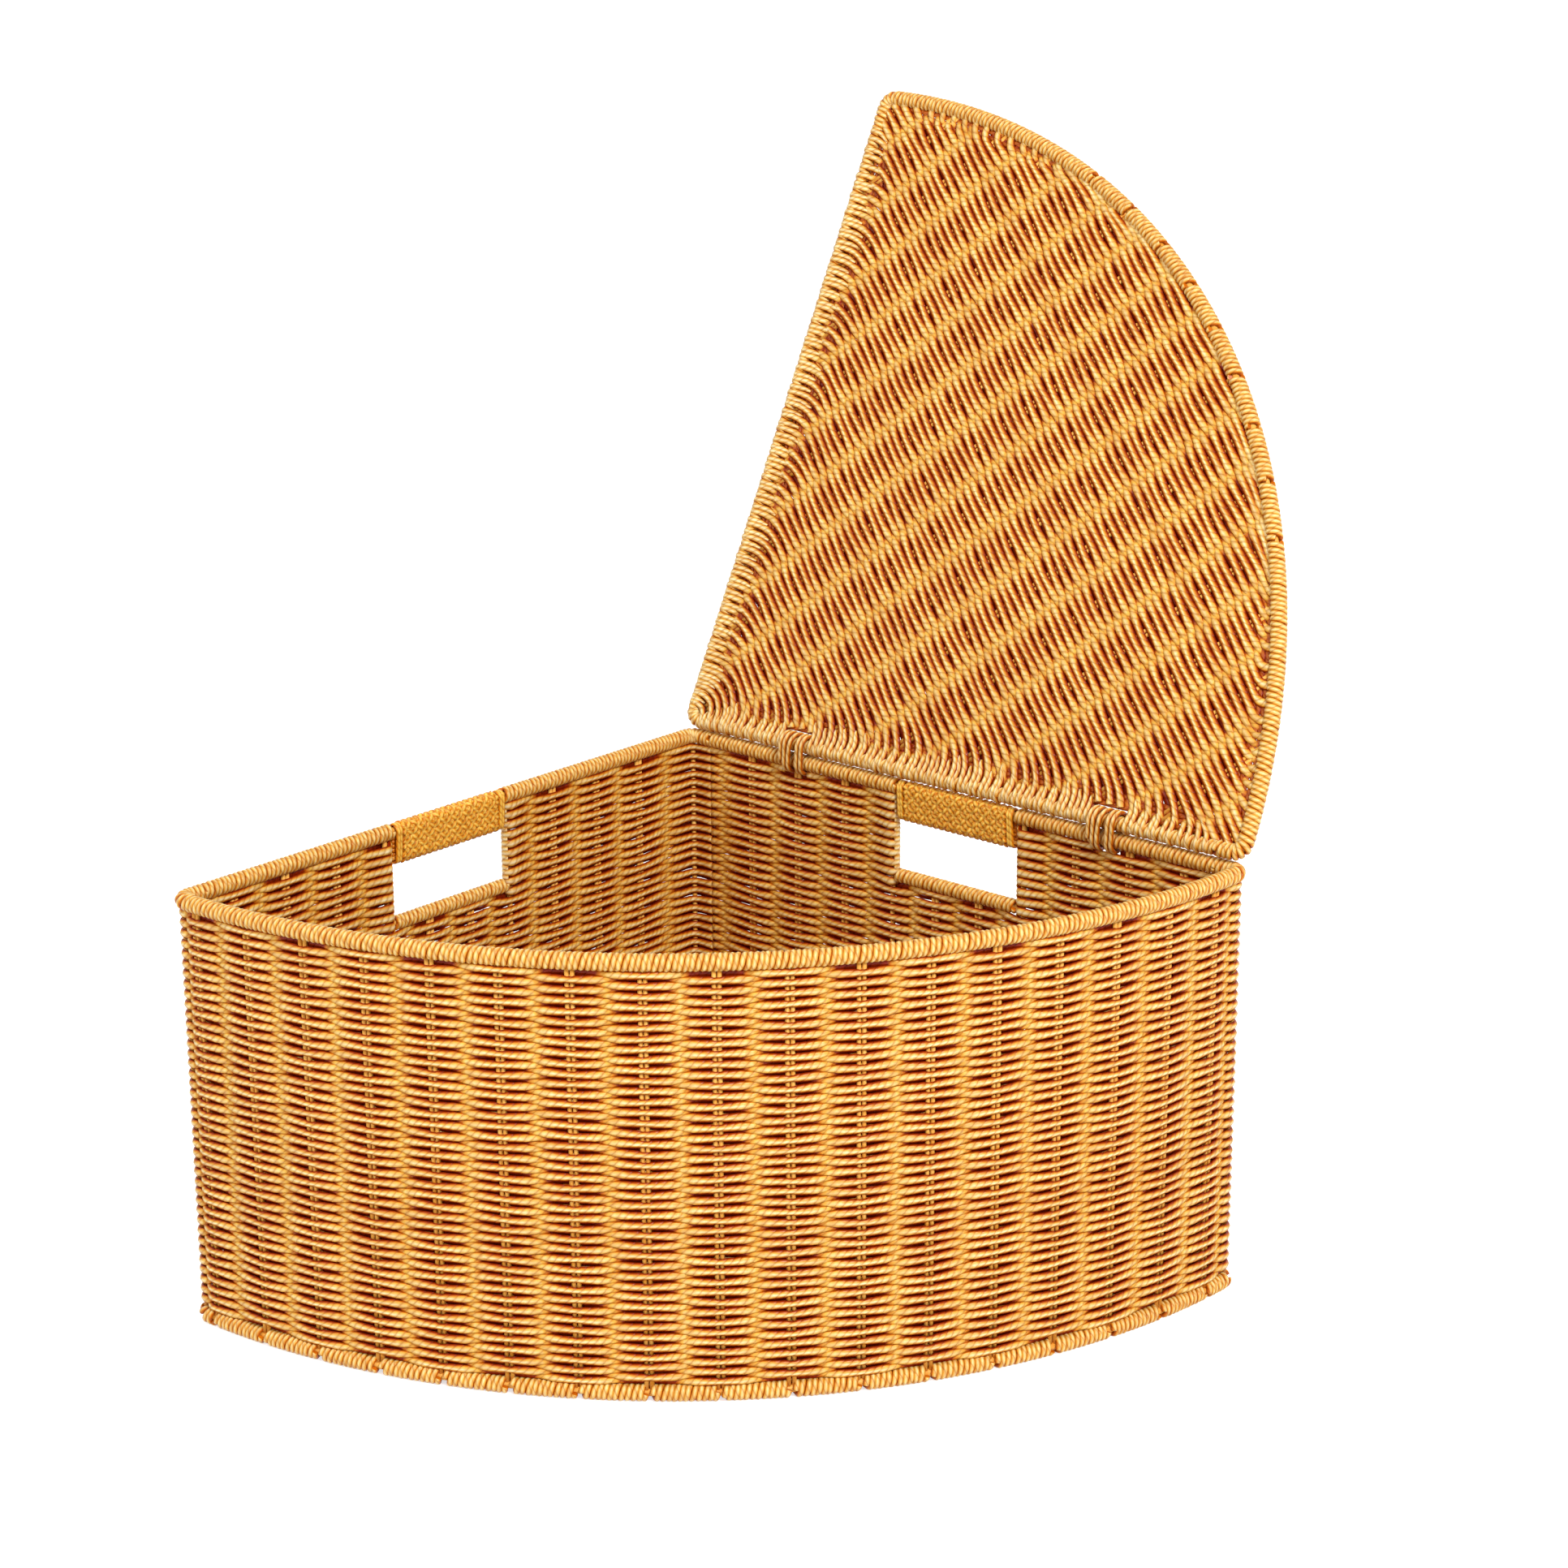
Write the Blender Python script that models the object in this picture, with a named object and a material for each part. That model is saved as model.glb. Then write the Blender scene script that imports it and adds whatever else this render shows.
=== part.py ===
# Corner storage basket: a quarter-round body and a hinged lid, woven of cord on welded wire.
# Metres, +Z up. The origin is the middle of the base's underside, where the basket stands.
# The back corner points to +Y, the round front to -Y, and the lid hinges on the right-hand wall.

import math

import bmesh
import bpy
from mathutils import Matrix, Quaternion, Vector

# Overall sizes
SIDE_LENGTH = 0.390  # back corner to a front corner, along the middle of a straight wall
WALL_HEIGHT = 0.232  # middle of the bottom ring to middle of the top ring
CORNER_RADIUS = 0.0065  # every corner of a ring, at the middle of its wire
LID_OPENING_DEGREES = 117.4  # from closed to leaning back on its lashings

# Cord and wire
CORD_DIAMETER = 0.0027
RING_WIRE_RADIUS = 0.0020
STAKE_WIRE_RADIUS = 0.0015
CLEARANCE = 0.0003  # between neighbouring solids
RIM_GAP = 0.0036  # open slot between the top rim and the first row of a wall

# Spacing of the upright stakes and of the flat ribs
FRONT_STAKE_SPACING = 0.036  # along the round front
FRONT_STAKE_SHIFT = 0.005  # the front stakes sit this far to the left of even
WALL_STAKE_SPACING = 0.0355  # on the straight walls, counted from the hand hole's uprights
RIB_SPACING = 0.033  # ribs of the base and the lid, which run from back to front

# Hand hole in each straight wall
HAND_HOLE_SHIFT = 0.0055  # the hole's middle is this far in front of the side's
HAND_HOLE_WIDTH = 0.085
HAND_HOLE_HEIGHT = 0.029
HAND_HOLE_DROP = 0.0196  # middle of the top ring down to the hole's upper edge
SILL_STAKE_COUNT = 2  # short stakes under the hole

# Hinge lashings
LASHING_CORD_DIAMETER = 0.0025
LASHING_GAP = 0.0005  # between neighbouring turns, and beside a stake
LASHING_TURNS = 4  # whole turns, which show as one strand more over the lid's rim
REAR_LASHING_STAKE = 2  # straddles this stake, counted from the hand hole towards the corner
FRONT_LASHING_INSET = 0.087  # front corner to the middle of the front lashing

# Fineness
FRONT_STEPS = 18
CORNER_STEPS = 4
LASHING_LOOP_POINTS = 24
RING_SIDES_RESOLUTION = 1
RIM_SIDES_RESOLUTION = 2
BAND_STEPS = 6
ROD_SIDES = 6
SHARP_ANGLE = math.radians(50)
WELD_DISTANCE = CLEARANCE / 10

# Sizes that follow
RIM_RADIUS = RING_WIRE_RADIUS + CORD_DIAMETER
WEAVE_HALF = STAKE_WIRE_RADIUS + CORD_DIAMETER
RING_HEIGHT = WEAVE_HALF  # so that the base's weave and the bottom rim's flat share the floor
BODY_PLACE = Vector((0.0, SIDE_LENGTH / 2, RING_HEIGHT))
LID_RISE = WALL_HEIGHT + 2 * RIM_RADIUS + CLEARANCE
HINGE_PLACE = BODY_PLACE + Vector((0.0, 0.0, LID_RISE))
HINGE_AXIS = Vector((-1.0, 1.0, 0.0)).normalized()
INSIDE_RIM = RIM_RADIUS + CLEARANCE
FILLET_REACH = math.sqrt((SIDE_LENGTH - CORNER_RADIUS) ** 2 - CORNER_RADIUS**2)
FILLET_TURN = math.asin(CORNER_RADIUS / (SIDE_LENGTH - CORNER_RADIUS))
REAR_SEAM = CORNER_RADIUS + 2 * RIM_RADIUS  # on the straight part of a side, clear of its corners
FRONT_SEAM = FILLET_REACH - 2 * RIM_RADIUS
HOLE_MIDDLE = SIDE_LENGTH / 2 + HAND_HOLE_SHIFT
HOLE_START = HOLE_MIDDLE - HAND_HOLE_WIDTH / 2
HOLE_END = HOLE_MIDDLE + HAND_HOLE_WIDTH / 2
BAND_BAR_HEIGHT = WALL_HEIGHT - HAND_HOLE_DROP + WEAVE_HALF
SILL_BAR_HEIGHT = WALL_HEIGHT - HAND_HOLE_DROP - HAND_HOLE_HEIGHT - WEAVE_HALF
WALL_BOTTOM = INSIDE_RIM
WALL_TOP = WALL_HEIGHT - RIM_RADIUS - RIM_GAP
OVERRUN = 4 * RIM_RADIUS  # how far cutters pass the faces they cut
LEFT = -1
RIGHT = 1


def clear_scene():
    for old in list(bpy.data.objects):
        bpy.data.objects.remove(old, do_unlink=True)


def make_collection(name):
    collection = bpy.data.collections.new(name)
    bpy.context.scene.collection.children.link(collection)
    return collection


def make_material(name, colour, roughness, metallic):
    material = bpy.data.materials.new(name)
    material.use_nodes = True
    shader = material.node_tree.nodes["Principled BSDF"]
    shader.inputs["Base Color"].default_value = (*colour, 1.0)
    shader.inputs["Roughness"].default_value = roughness
    shader.inputs["Metallic"].default_value = metallic
    return material


clear_scene()
PARTS = make_collection("corner_storage_basket")
CUTTERS = make_collection("cutters")
WEFT_CORD = make_material("weft_cord", (0.62, 0.34, 0.10), 0.55, 0.0)
RIM_CORD = make_material("rim_cord", (0.66, 0.36, 0.10), 0.50, 0.0)
LASHING_CORD = make_material("lashing_cord", (0.72, 0.44, 0.15), 0.50, 0.0)
FRAME_WIRE = make_material("frame_wire", (0.45, 0.24, 0.08), 0.40, 0.8)


# Plan of a ring, about the corner where the straight walls' middle planes meet
def polar(centre, radius, angle):
    return Vector((centre[0] + radius * math.cos(angle), centre[1] + radius * math.sin(angle), 0.0))


def arc(centre, radius, start, end, steps):
    return [polar(centre, radius, start + (end - start) * i / steps) for i in range(steps + 1)]


def wall_point(side, along, outward=0.0):
    run = along / math.sqrt(2)
    out = outward / math.sqrt(2)
    return Vector((side * (run + out), out - run, 0.0))


def back_corner(offset=0.0):
    centre = (0.0, -CORNER_RADIUS * math.sqrt(2))
    quarter = math.pi / 4
    return arc(centre, CORNER_RADIUS + offset, quarter, 3 * quarter, CORNER_STEPS)


def front_corner(side, offset=0.0):
    centre = wall_point(side, FILLET_REACH, -CORNER_RADIUS)
    radius = CORNER_RADIUS + offset
    wall_angle = math.pi * 3 / 4
    front_angle = math.pi * 5 / 4 + FILLET_TURN
    points = arc(centre, radius, wall_angle, front_angle, CORNER_STEPS)
    if side == RIGHT:
        points = arc(centre, radius, math.pi - front_angle, math.pi - wall_angle, CORNER_STEPS)
    return points


def front_arc(offset=0.0):
    start = math.pi * 5 / 4 + FILLET_TURN
    end = math.pi * 7 / 4 - FILLET_TURN
    return arc((0.0, 0.0), SIDE_LENGTH + offset, start, end, FRONT_STEPS)


def straight(side, start, end, offset=0.0):
    return [wall_point(side, start, offset), wall_point(side, end, offset)]


def round_front(offset=0.0):
    return front_corner(LEFT, offset) + front_arc(offset)[1:-1] + front_corner(RIGHT, offset)


def whole_ring(offset=0.0):
    return back_corner(offset) + round_front(offset)


# The two paths that go round corners start and end on straight parts
def front_side(offset=0.0):
    start = wall_point(LEFT, FRONT_SEAM, offset)
    return [start] + round_front(offset) + [wall_point(RIGHT, FRONT_SEAM, offset)]


def left_side(end, offset=0.0):
    return [wall_point(RIGHT, REAR_SEAM, offset)] + back_corner(offset) + [wall_point(LEFT, end, offset)]


def corner_post(side):
    points = front_corner(side)
    return points[len(points) // 2]


def front_stakes():
    sweep = math.pi / 2
    count = round(SIDE_LENGTH * sweep / FRONT_STAKE_SPACING)
    start = math.pi * 5 / 4 - FRONT_STAKE_SHIFT / SIDE_LENGTH
    angles = [start + sweep * (i + 0.5) / count for i in range(count)]
    return [polar((0.0, 0.0), SIDE_LENGTH, angle) for angle in angles]


# Upright stakes of a straight wall, as distances from the back corner
def hole_uprights():
    return [HOLE_START - WEAVE_HALF, HOLE_END + WEAVE_HALF]


def wall_stakes():
    rear, front = hole_uprights()
    places = [rear, front]
    place = rear - WALL_STAKE_SPACING
    while place > CORNER_RADIUS + WALL_STAKE_SPACING / 2:
        places.append(place)
        place -= WALL_STAKE_SPACING
    place = front + WALL_STAKE_SPACING
    while place < FILLET_REACH - WALL_STAKE_SPACING / 2:
        places.append(place)
        place += WALL_STAKE_SPACING
    return places


def short_stakes():
    rear, front = hole_uprights()
    bays = SILL_STAKE_COUNT + 1
    return [rear + (front - rear) * i / bays for i in range(1, bays)]


# Meshes
def link(name, mesh, collection, material=None, place=None, parent=None):
    item = bpy.data.objects.new(name, mesh)
    collection.objects.link(item)
    if material:
        mesh.materials.clear()
        mesh.materials.append(material)
    if parent:
        item.parent = parent
    elif place is not None:
        item.location = place
    if collection is CUTTERS:
        item.hide_render = True
        item.display_type = "WIRE"
    return item


def mesh_from_curve(name, curve):
    carrier = bpy.data.objects.new(name + "_curve", curve)
    bpy.context.scene.collection.objects.link(carrier)
    graph = bpy.context.evaluated_depsgraph_get()
    mesh = bpy.data.meshes.new_from_object(carrier.evaluated_get(graph))
    bpy.data.objects.remove(carrier, do_unlink=True)
    shape = bmesh.new()
    shape.from_mesh(mesh)
    bmesh.ops.remove_doubles(shape, verts=shape.verts, dist=WELD_DISTANCE)
    bmesh.ops.recalc_face_normals(shape, faces=shape.faces)
    shape.to_mesh(mesh)
    shape.free()
    mesh.name = name
    return mesh


def spline_through(curve, points, cyclic):
    spline = curve.splines.new("POLY")
    spline.points.add(len(points) - 1)
    for target, point in zip(spline.points, points):
        target.co = (*point, 1.0)
    spline.use_cyclic_u = cyclic


def tube_mesh(name, points, radius, resolution, cyclic=False):
    curve = bpy.data.curves.new(name, "CURVE")
    curve.dimensions = "3D"
    curve.twist_mode = "Z_UP"
    curve.bevel_depth = radius
    curve.bevel_resolution = resolution
    curve.use_fill_caps = not cyclic
    spline_through(curve, points, cyclic)
    return mesh_from_curve(name, curve)


def prism_mesh(name, outline, bottom, top):
    curve = bpy.data.curves.new(name, "CURVE")
    curve.dimensions = "2D"
    curve.fill_mode = "BOTH"
    curve.extrude = (top - bottom) / 2
    spline_through(curve, outline, True)
    mesh = mesh_from_curve(name, curve)
    mesh.transform(Matrix.Translation((0.0, 0.0, (top + bottom) / 2)))
    return mesh


def rods_mesh(name, runs, radius):
    shape = bmesh.new()
    for start, end in runs:
        run = end - start
        turn = run.to_track_quat("Z", "Y").to_matrix().to_4x4()
        bmesh.ops.create_cone(
            shape,
            cap_ends=True,
            segments=ROD_SIDES,
            radius1=radius,
            radius2=radius,
            depth=run.length,
            matrix=Matrix.Translation((start + end) / 2) @ turn,
        )
    mesh = bpy.data.meshes.new(name)
    shape.to_mesh(mesh)
    shape.free()
    return mesh


def boolean(target, other, operation):
    modifier = target.modifiers.new(operation.lower() + "_" + other.name, "BOOLEAN")
    modifier.operation = operation
    modifier.solver = "EXACT"
    modifier.object = other


def cut(target, *others):
    for other in others:
        boolean(target, other, "DIFFERENCE")


def shade_round(item):
    item.data.shade_smooth()
    item.data.set_sharp_from_angle(angle=SHARP_ANGLE)


# Wire runs, each a list of (start, end) about the back corner, from the bottom ring's middle
def upright(point, top=WALL_HEIGHT):
    return point, point + Vector((0.0, 0.0, top))


def upright_runs():
    posts = [back_corner()[CORNER_STEPS // 2], corner_post(LEFT), corner_post(RIGHT)]
    runs = [upright(point) for point in posts + front_stakes()]
    for side in (LEFT, RIGHT):
        runs += [upright(wall_point(side, place)) for place in wall_stakes()]
        runs += [upright(wall_point(side, place), SILL_BAR_HEIGHT) for place in short_stakes()]
    return runs


def bar_runs():
    runs = []
    rear, front = hole_uprights()
    for side in (LEFT, RIGHT):
        for height in (BAND_BAR_HEIGHT, SILL_BAR_HEIGHT):
            rise = Vector((0.0, 0.0, height))
            runs.append((wall_point(side, rear) + rise, wall_point(side, front) + rise))
    return runs


def rib_start(offset):
    if offset < CORNER_RADIUS / math.sqrt(2):
        return CORNER_RADIUS * math.sqrt(2) - math.sqrt(CORNER_RADIUS**2 - offset**2)
    return offset


def rib_runs():
    widest = FILLET_REACH / math.sqrt(2) - STAKE_WIRE_RADIUS
    count = int(widest / RIB_SPACING)
    runs = []
    for i in range(-count, count + 1):
        across = i * RIB_SPACING
        start = rib_start(abs(across))
        end = math.sqrt(SIDE_LENGTH**2 - across**2)
        runs.append((Vector((across, -start, 0.0)), Vector((across, -end, 0.0))))
    return runs


# Cutters, which leave the clearance round every wire
def body_cutter(name, mesh):
    return link(name, mesh, CUTTERS, place=BODY_PLACE)


LID = bpy.data.objects.new("lid_hinge", None)
PARTS.objects.link(LID)
LID.location = HINGE_PLACE
LID.rotation_mode = "QUATERNION"
LID.rotation_quaternion = Quaternion(HINGE_AXIS, math.radians(LID_OPENING_DEGREES))


def lid_cutter(name, mesh):
    return link(name, mesh, CUTTERS, parent=LID)


def raised(points, height):
    return [point + Vector((0.0, 0.0, height)) for point in points]


def ring_mesh(name, height, radius):
    return tube_mesh(name, raised(whole_ring(), height), radius, RING_SIDES_RESOLUTION, cyclic=True)


# Box that takes everything under the floor off the bottom rim
def floor_cutter():
    outline = [
        Vector((-SIDE_LENGTH, OVERRUN, 0.0)),
        Vector((-SIDE_LENGTH, -SIDE_LENGTH - OVERRUN, 0.0)),
        Vector((SIDE_LENGTH, -SIDE_LENGTH - OVERRUN, 0.0)),
        Vector((SIDE_LENGTH, OVERRUN, 0.0)),
    ]
    return body_cutter("floor", prism_mesh("floor", outline, -RING_HEIGHT - OVERRUN, -RING_HEIGHT))


FLOOR = floor_cutter()


# Welded frames, and the channels for them, which are the same frames grown by the clearance
def body_frame(name, collection, material, growth):
    ring = RING_WIRE_RADIUS + growth
    rod = STAKE_WIRE_RADIUS + growth
    frame = link(name, ring_mesh(name, WALL_HEIGHT, ring), collection, material, BODY_PLACE)
    members = {
        "base_ring": ring_mesh(name + "_base_ring", 0.0, ring),
        "stakes": rods_mesh(name + "_stakes", upright_runs(), rod),
        "bars": rods_mesh(name + "_bars", bar_runs(), rod),
        "ribs": rods_mesh(name + "_ribs", rib_runs(), rod),
    }
    for member, mesh in members.items():
        boolean(frame, body_cutter(name + "_" + member, mesh), "UNION")
    return frame


def lid_frame(name, collection, material, growth):
    mesh = ring_mesh(name, 0.0, RING_WIRE_RADIUS + growth)
    frame = link(name, mesh, collection, material, parent=LID)
    ribs = rods_mesh(name + "_ribs", rib_runs(), STAKE_WIRE_RADIUS + growth)
    boolean(frame, lid_cutter(name + "_ribs", ribs), "UNION")
    return frame


BODY_CHANNELS = body_frame("body_channels", CUTTERS, None, CLEARANCE)
LID_CHANNELS = lid_frame("lid_channels", CUTTERS, None, CLEARANCE)


# Woven walls, base and lid
def strip(path):
    return path(WEAVE_HALF) + list(reversed(path(-WEAVE_HALF)))


def left_wall_path(offset):
    return left_side(FRONT_SEAM - CLEARANCE, offset)


def right_wall_path(offset):
    return straight(RIGHT, FRONT_SEAM - CLEARANCE, REAR_SEAM + CLEARANCE, offset)


def hand_hole_cutter(side, name):
    half = WEAVE_HALF + OVERRUN
    outline = [
        wall_point(side, HOLE_START, half),
        wall_point(side, HOLE_START, -half),
        wall_point(side, HOLE_END, -half),
        wall_point(side, HOLE_END, half),
    ]
    bottom = SILL_BAR_HEIGHT - WEAVE_HALF - CLEARANCE
    return body_cutter(name, prism_mesh(name, outline, bottom, WALL_HEIGHT))


def wall_weave(name, path, hole=None):
    wall = link(name, prism_mesh(name, strip(path), WALL_BOTTOM, WALL_TOP), PARTS, WEFT_CORD, BODY_PLACE)
    if hole:
        cut(wall, hole)
    cut(wall, BODY_CHANNELS)


def base_weave():
    mesh = prism_mesh("base_weave", whole_ring(-INSIDE_RIM), -WEAVE_HALF, WEAVE_HALF)
    base = link("base_weave", mesh, PARTS, WEFT_CORD, BODY_PLACE)
    cut(base, BODY_CHANNELS)


def lashing_places():
    rear = hole_uprights()[0] - REAR_LASHING_STAKE * WALL_STAKE_SPACING
    return rear, SIDE_LENGTH - FRONT_LASHING_INSET


LASHING_RADIUS = LASHING_CORD_DIAMETER / 2
LASHING_PITCH = LASHING_CORD_DIAMETER + LASHING_GAP
LASHING_STEP = 2 * (STAKE_WIRE_RADIUS + LASHING_GAP + LASHING_RADIUS) - LASHING_PITCH
LASHING_BEND = RIM_RADIUS + CLEARANCE + LASHING_RADIUS
LASHING_HALF_WIDTH = (LASHING_PITCH * (LASHING_TURNS + 1) + LASHING_STEP) / 2 + LASHING_RADIUS
NOTCH_HALF_WIDTH = LASHING_HALF_WIDTH + LASHING_GAP
NOTCH_DEPTH = LASHING_BEND + LASHING_RADIUS + LASHING_GAP


# The straight sides reach the ring's middle, with a notch for each lashing on the hinge side
def lid_outline():
    edge = FRONT_SEAM - 2 * CLEARANCE
    points = [wall_point(RIGHT, edge)]
    for place in sorted(lashing_places(), reverse=True):
        points.append(wall_point(RIGHT, place + NOTCH_HALF_WIDTH))
        points.append(wall_point(RIGHT, place + NOTCH_HALF_WIDTH, -NOTCH_DEPTH))
        points.append(wall_point(RIGHT, place - NOTCH_HALF_WIDTH, -NOTCH_DEPTH))
        points.append(wall_point(RIGHT, place - NOTCH_HALF_WIDTH))
    points += back_corner()
    points += [wall_point(LEFT, edge), wall_point(LEFT, edge, -INSIDE_RIM)]
    points += round_front(-INSIDE_RIM)
    points += [wall_point(RIGHT, edge, -INSIDE_RIM)]
    return points


def lid_weave():
    mesh = prism_mesh("lid_weave", lid_outline(), -WEAVE_HALF, WEAVE_HALF)
    lid = link("lid_weave", mesh, PARTS, WEFT_CORD, parent=LID)
    edge = FRONT_SEAM - CLEARANCE
    path = [wall_point(RIGHT, edge)] + back_corner() + [wall_point(LEFT, edge)]
    turns = lid_cutter("lid_edge_turns", tube_mesh("lid_edge_turns", path, RIM_RADIUS, RIM_SIDES_RESOLUTION))
    boolean(lid, turns, "UNION")
    cut(lid, LID_CHANNELS)


# Bound rims
def binding(name, path, height, *cutters, parent=None):
    mesh = tube_mesh(name, raised(path, height), RIM_RADIUS, RIM_SIDES_RESOLUTION)
    place = None if parent else BODY_PLACE
    cut(link(name, mesh, PARTS, RIM_CORD, place=place, parent=parent), *cutters)


def top_bindings():
    band_start = HOLE_START - CLEARANCE
    band_end = HOLE_END + CLEARANCE
    rim_end = FRONT_SEAM - CLEARANCE
    rim_start = REAR_SEAM + CLEARANCE
    binding("left_rear_rim_binding", left_side(band_start), WALL_HEIGHT, BODY_CHANNELS)
    binding("left_front_rim_binding", straight(LEFT, band_end, rim_end), WALL_HEIGHT, BODY_CHANNELS)
    binding("right_rear_rim_binding", straight(RIGHT, band_start, rim_start), WALL_HEIGHT, BODY_CHANNELS)
    binding("right_front_rim_binding", straight(RIGHT, rim_end, band_end), WALL_HEIGHT, BODY_CHANNELS)
    binding("front_rim_binding", front_side(), WALL_HEIGHT, BODY_CHANNELS)


def base_bindings():
    rim_end = FRONT_SEAM - CLEARANCE
    rim_start = REAR_SEAM + CLEARANCE
    binding("left_base_binding", left_side(rim_end), 0.0, FLOOR, BODY_CHANNELS)
    binding("right_base_binding", straight(RIGHT, rim_end, rim_start), 0.0, FLOOR, BODY_CHANNELS)
    binding("front_base_binding", front_side(), 0.0, FLOOR, BODY_CHANNELS)


def lid_arc_binding():
    binding("lid_arc_binding", front_side(), 0.0, LID_CHANNELS, parent=LID)


# Flat band over each hand hole, wound round the top ring and a bar, and the bound sill under it
def band_outline():
    top = arc((WALL_HEIGHT, 0.0), RIM_RADIUS, -math.pi / 2, math.pi / 2, BAND_STEPS)
    bottom = arc((BAND_BAR_HEIGHT, 0.0), WEAVE_HALF, math.pi / 2, math.pi * 3 / 2, BAND_STEPS)
    return top + bottom


# Stands a prism's Z along a wall and its X upright
def wall_frame(side):
    along = wall_point(side, 1.0)
    up = Vector((0.0, 0.0, 1.0))
    across = along.cross(up)
    return Matrix((up, across, along)).transposed().to_4x4()


def handle_band(side, name):
    mesh = prism_mesh(name, band_outline(), HOLE_START + CLEARANCE, HOLE_END - CLEARANCE)
    mesh.transform(wall_frame(side))
    band = link(name, mesh, PARTS, RIM_CORD, BODY_PLACE)
    cut(band, BODY_CHANNELS)


def sill_binding(side, name):
    path = straight(side, HOLE_START + CLEARANCE, HOLE_END - CLEARANCE)
    mesh = tube_mesh(name, raised(path, SILL_BAR_HEIGHT), WEAVE_HALF, RIM_SIDES_RESOLUTION)
    sill = link(name, mesh, PARTS, RIM_CORD, BODY_PLACE)
    cut(sill, BODY_CHANNELS)


# Hinge lashings: one tube each, wound round the basket's rim and the lid's rim above it
def lashing_turn(turn):
    flank = 2 * RIM_RADIUS + CLEARANCE
    bend = math.pi * LASHING_BEND
    perimeter = 2 * (flank + bend)
    middle = LASHING_TURNS / 2
    along = LASHING_PITCH * (turn - middle)
    along += LASHING_STEP / 2 * max(-1.0, min(1.0, 4 * (turn - middle)))
    travel = (turn % 1.0) * perimeter
    top = WALL_HEIGHT + flank
    if travel < bend / 2:
        angle = travel / LASHING_BEND
        return along, LASHING_BEND * math.sin(angle), top + LASHING_BEND * math.cos(angle)
    travel -= bend / 2
    if travel < flank:
        return along, LASHING_BEND, top - travel
    travel -= flank
    if travel < bend:
        angle = travel / LASHING_BEND
        return along, LASHING_BEND * math.cos(angle), WALL_HEIGHT - LASHING_BEND * math.sin(angle)
    travel -= bend
    if travel < flank:
        return along, -LASHING_BEND, WALL_HEIGHT + travel
    angle = (travel - flank) / LASHING_BEND
    return along, -LASHING_BEND * math.cos(angle), top + LASHING_BEND * math.sin(angle)


def lashing_path(place):
    flank = 2 * RIM_RADIUS + CLEARANCE
    bend = math.pi * LASHING_BEND
    reach = (bend / 2 + flank) / (2 * (flank + bend))
    steps = round((LASHING_TURNS + 2 * reach) * LASHING_LOOP_POINTS)
    points = []
    for i in range(steps + 1):
        turn = -reach + (LASHING_TURNS + 2 * reach) * i / steps
        along, outward, height = lashing_turn(turn)
        points.append(wall_point(RIGHT, place + along, outward) + Vector((0.0, 0.0, height)))
    tail = Vector((0.0, 0.0, -LASHING_CORD_DIAMETER))
    return [points[0] + tail] + points + [points[-1] + tail]


def print_least_gap(name, points):
    apart = LASHING_LOOP_POINTS // 2
    pairs = ((a, b) for a in range(len(points)) for b in range(a + apart, len(points)))
    least = min((points[a] - points[b]).length for a, b in pairs)
    print(name, "least gap between turns, mm:", round((least - LASHING_CORD_DIAMETER) * 1000, 2))


def hinge_lashing(place, name):
    points = lashing_path(place)
    print_least_gap(name, points)
    mesh = tube_mesh(name, points, LASHING_RADIUS, 1)
    shade_round(link(name, mesh, PARTS, LASHING_CORD, BODY_PLACE))


body_frame("body_wire_frame", PARTS, FRAME_WIRE, 0.0)
lid_frame("lid_wire_frame", PARTS, FRAME_WIRE, 0.0)
wall_weave("left_wall_weave", left_wall_path, hand_hole_cutter(LEFT, "left_hand_hole"))
wall_weave("right_wall_weave", right_wall_path, hand_hole_cutter(RIGHT, "right_hand_hole"))
wall_weave("front_wall_weave", front_side)
base_weave()
lid_weave()
top_bindings()
base_bindings()
lid_arc_binding()
handle_band(LEFT, "left_handle_band")
handle_band(RIGHT, "right_handle_band")
sill_binding(LEFT, "left_sill_binding")
sill_binding(RIGHT, "right_sill_binding")
REAR_PLACE, FRONT_PLACE = lashing_places()
hinge_lashing(REAR_PLACE, "rear_hinge_lashing")
hinge_lashing(FRONT_PLACE, "front_hinge_lashing")
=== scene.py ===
import math

import bpy
import numpy as np
from mathutils import Matrix, Vector


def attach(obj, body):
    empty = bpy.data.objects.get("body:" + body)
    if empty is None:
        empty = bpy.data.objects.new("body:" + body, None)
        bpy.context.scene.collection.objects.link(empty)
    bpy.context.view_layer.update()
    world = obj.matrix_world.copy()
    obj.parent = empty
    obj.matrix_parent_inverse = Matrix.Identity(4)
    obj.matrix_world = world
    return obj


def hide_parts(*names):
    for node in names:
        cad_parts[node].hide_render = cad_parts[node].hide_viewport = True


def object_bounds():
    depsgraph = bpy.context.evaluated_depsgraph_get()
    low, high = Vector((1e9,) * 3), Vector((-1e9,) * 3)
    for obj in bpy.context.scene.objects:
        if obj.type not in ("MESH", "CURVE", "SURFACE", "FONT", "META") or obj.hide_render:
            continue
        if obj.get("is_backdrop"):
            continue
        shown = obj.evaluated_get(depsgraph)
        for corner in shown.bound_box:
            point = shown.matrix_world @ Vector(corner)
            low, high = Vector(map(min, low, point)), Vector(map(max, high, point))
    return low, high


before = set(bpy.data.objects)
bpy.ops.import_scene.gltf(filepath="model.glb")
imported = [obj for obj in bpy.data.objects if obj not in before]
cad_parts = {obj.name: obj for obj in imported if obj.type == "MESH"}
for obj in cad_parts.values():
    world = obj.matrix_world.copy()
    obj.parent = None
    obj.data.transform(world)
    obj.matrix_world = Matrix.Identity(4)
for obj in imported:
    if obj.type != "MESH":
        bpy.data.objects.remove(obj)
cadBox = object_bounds()

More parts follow.
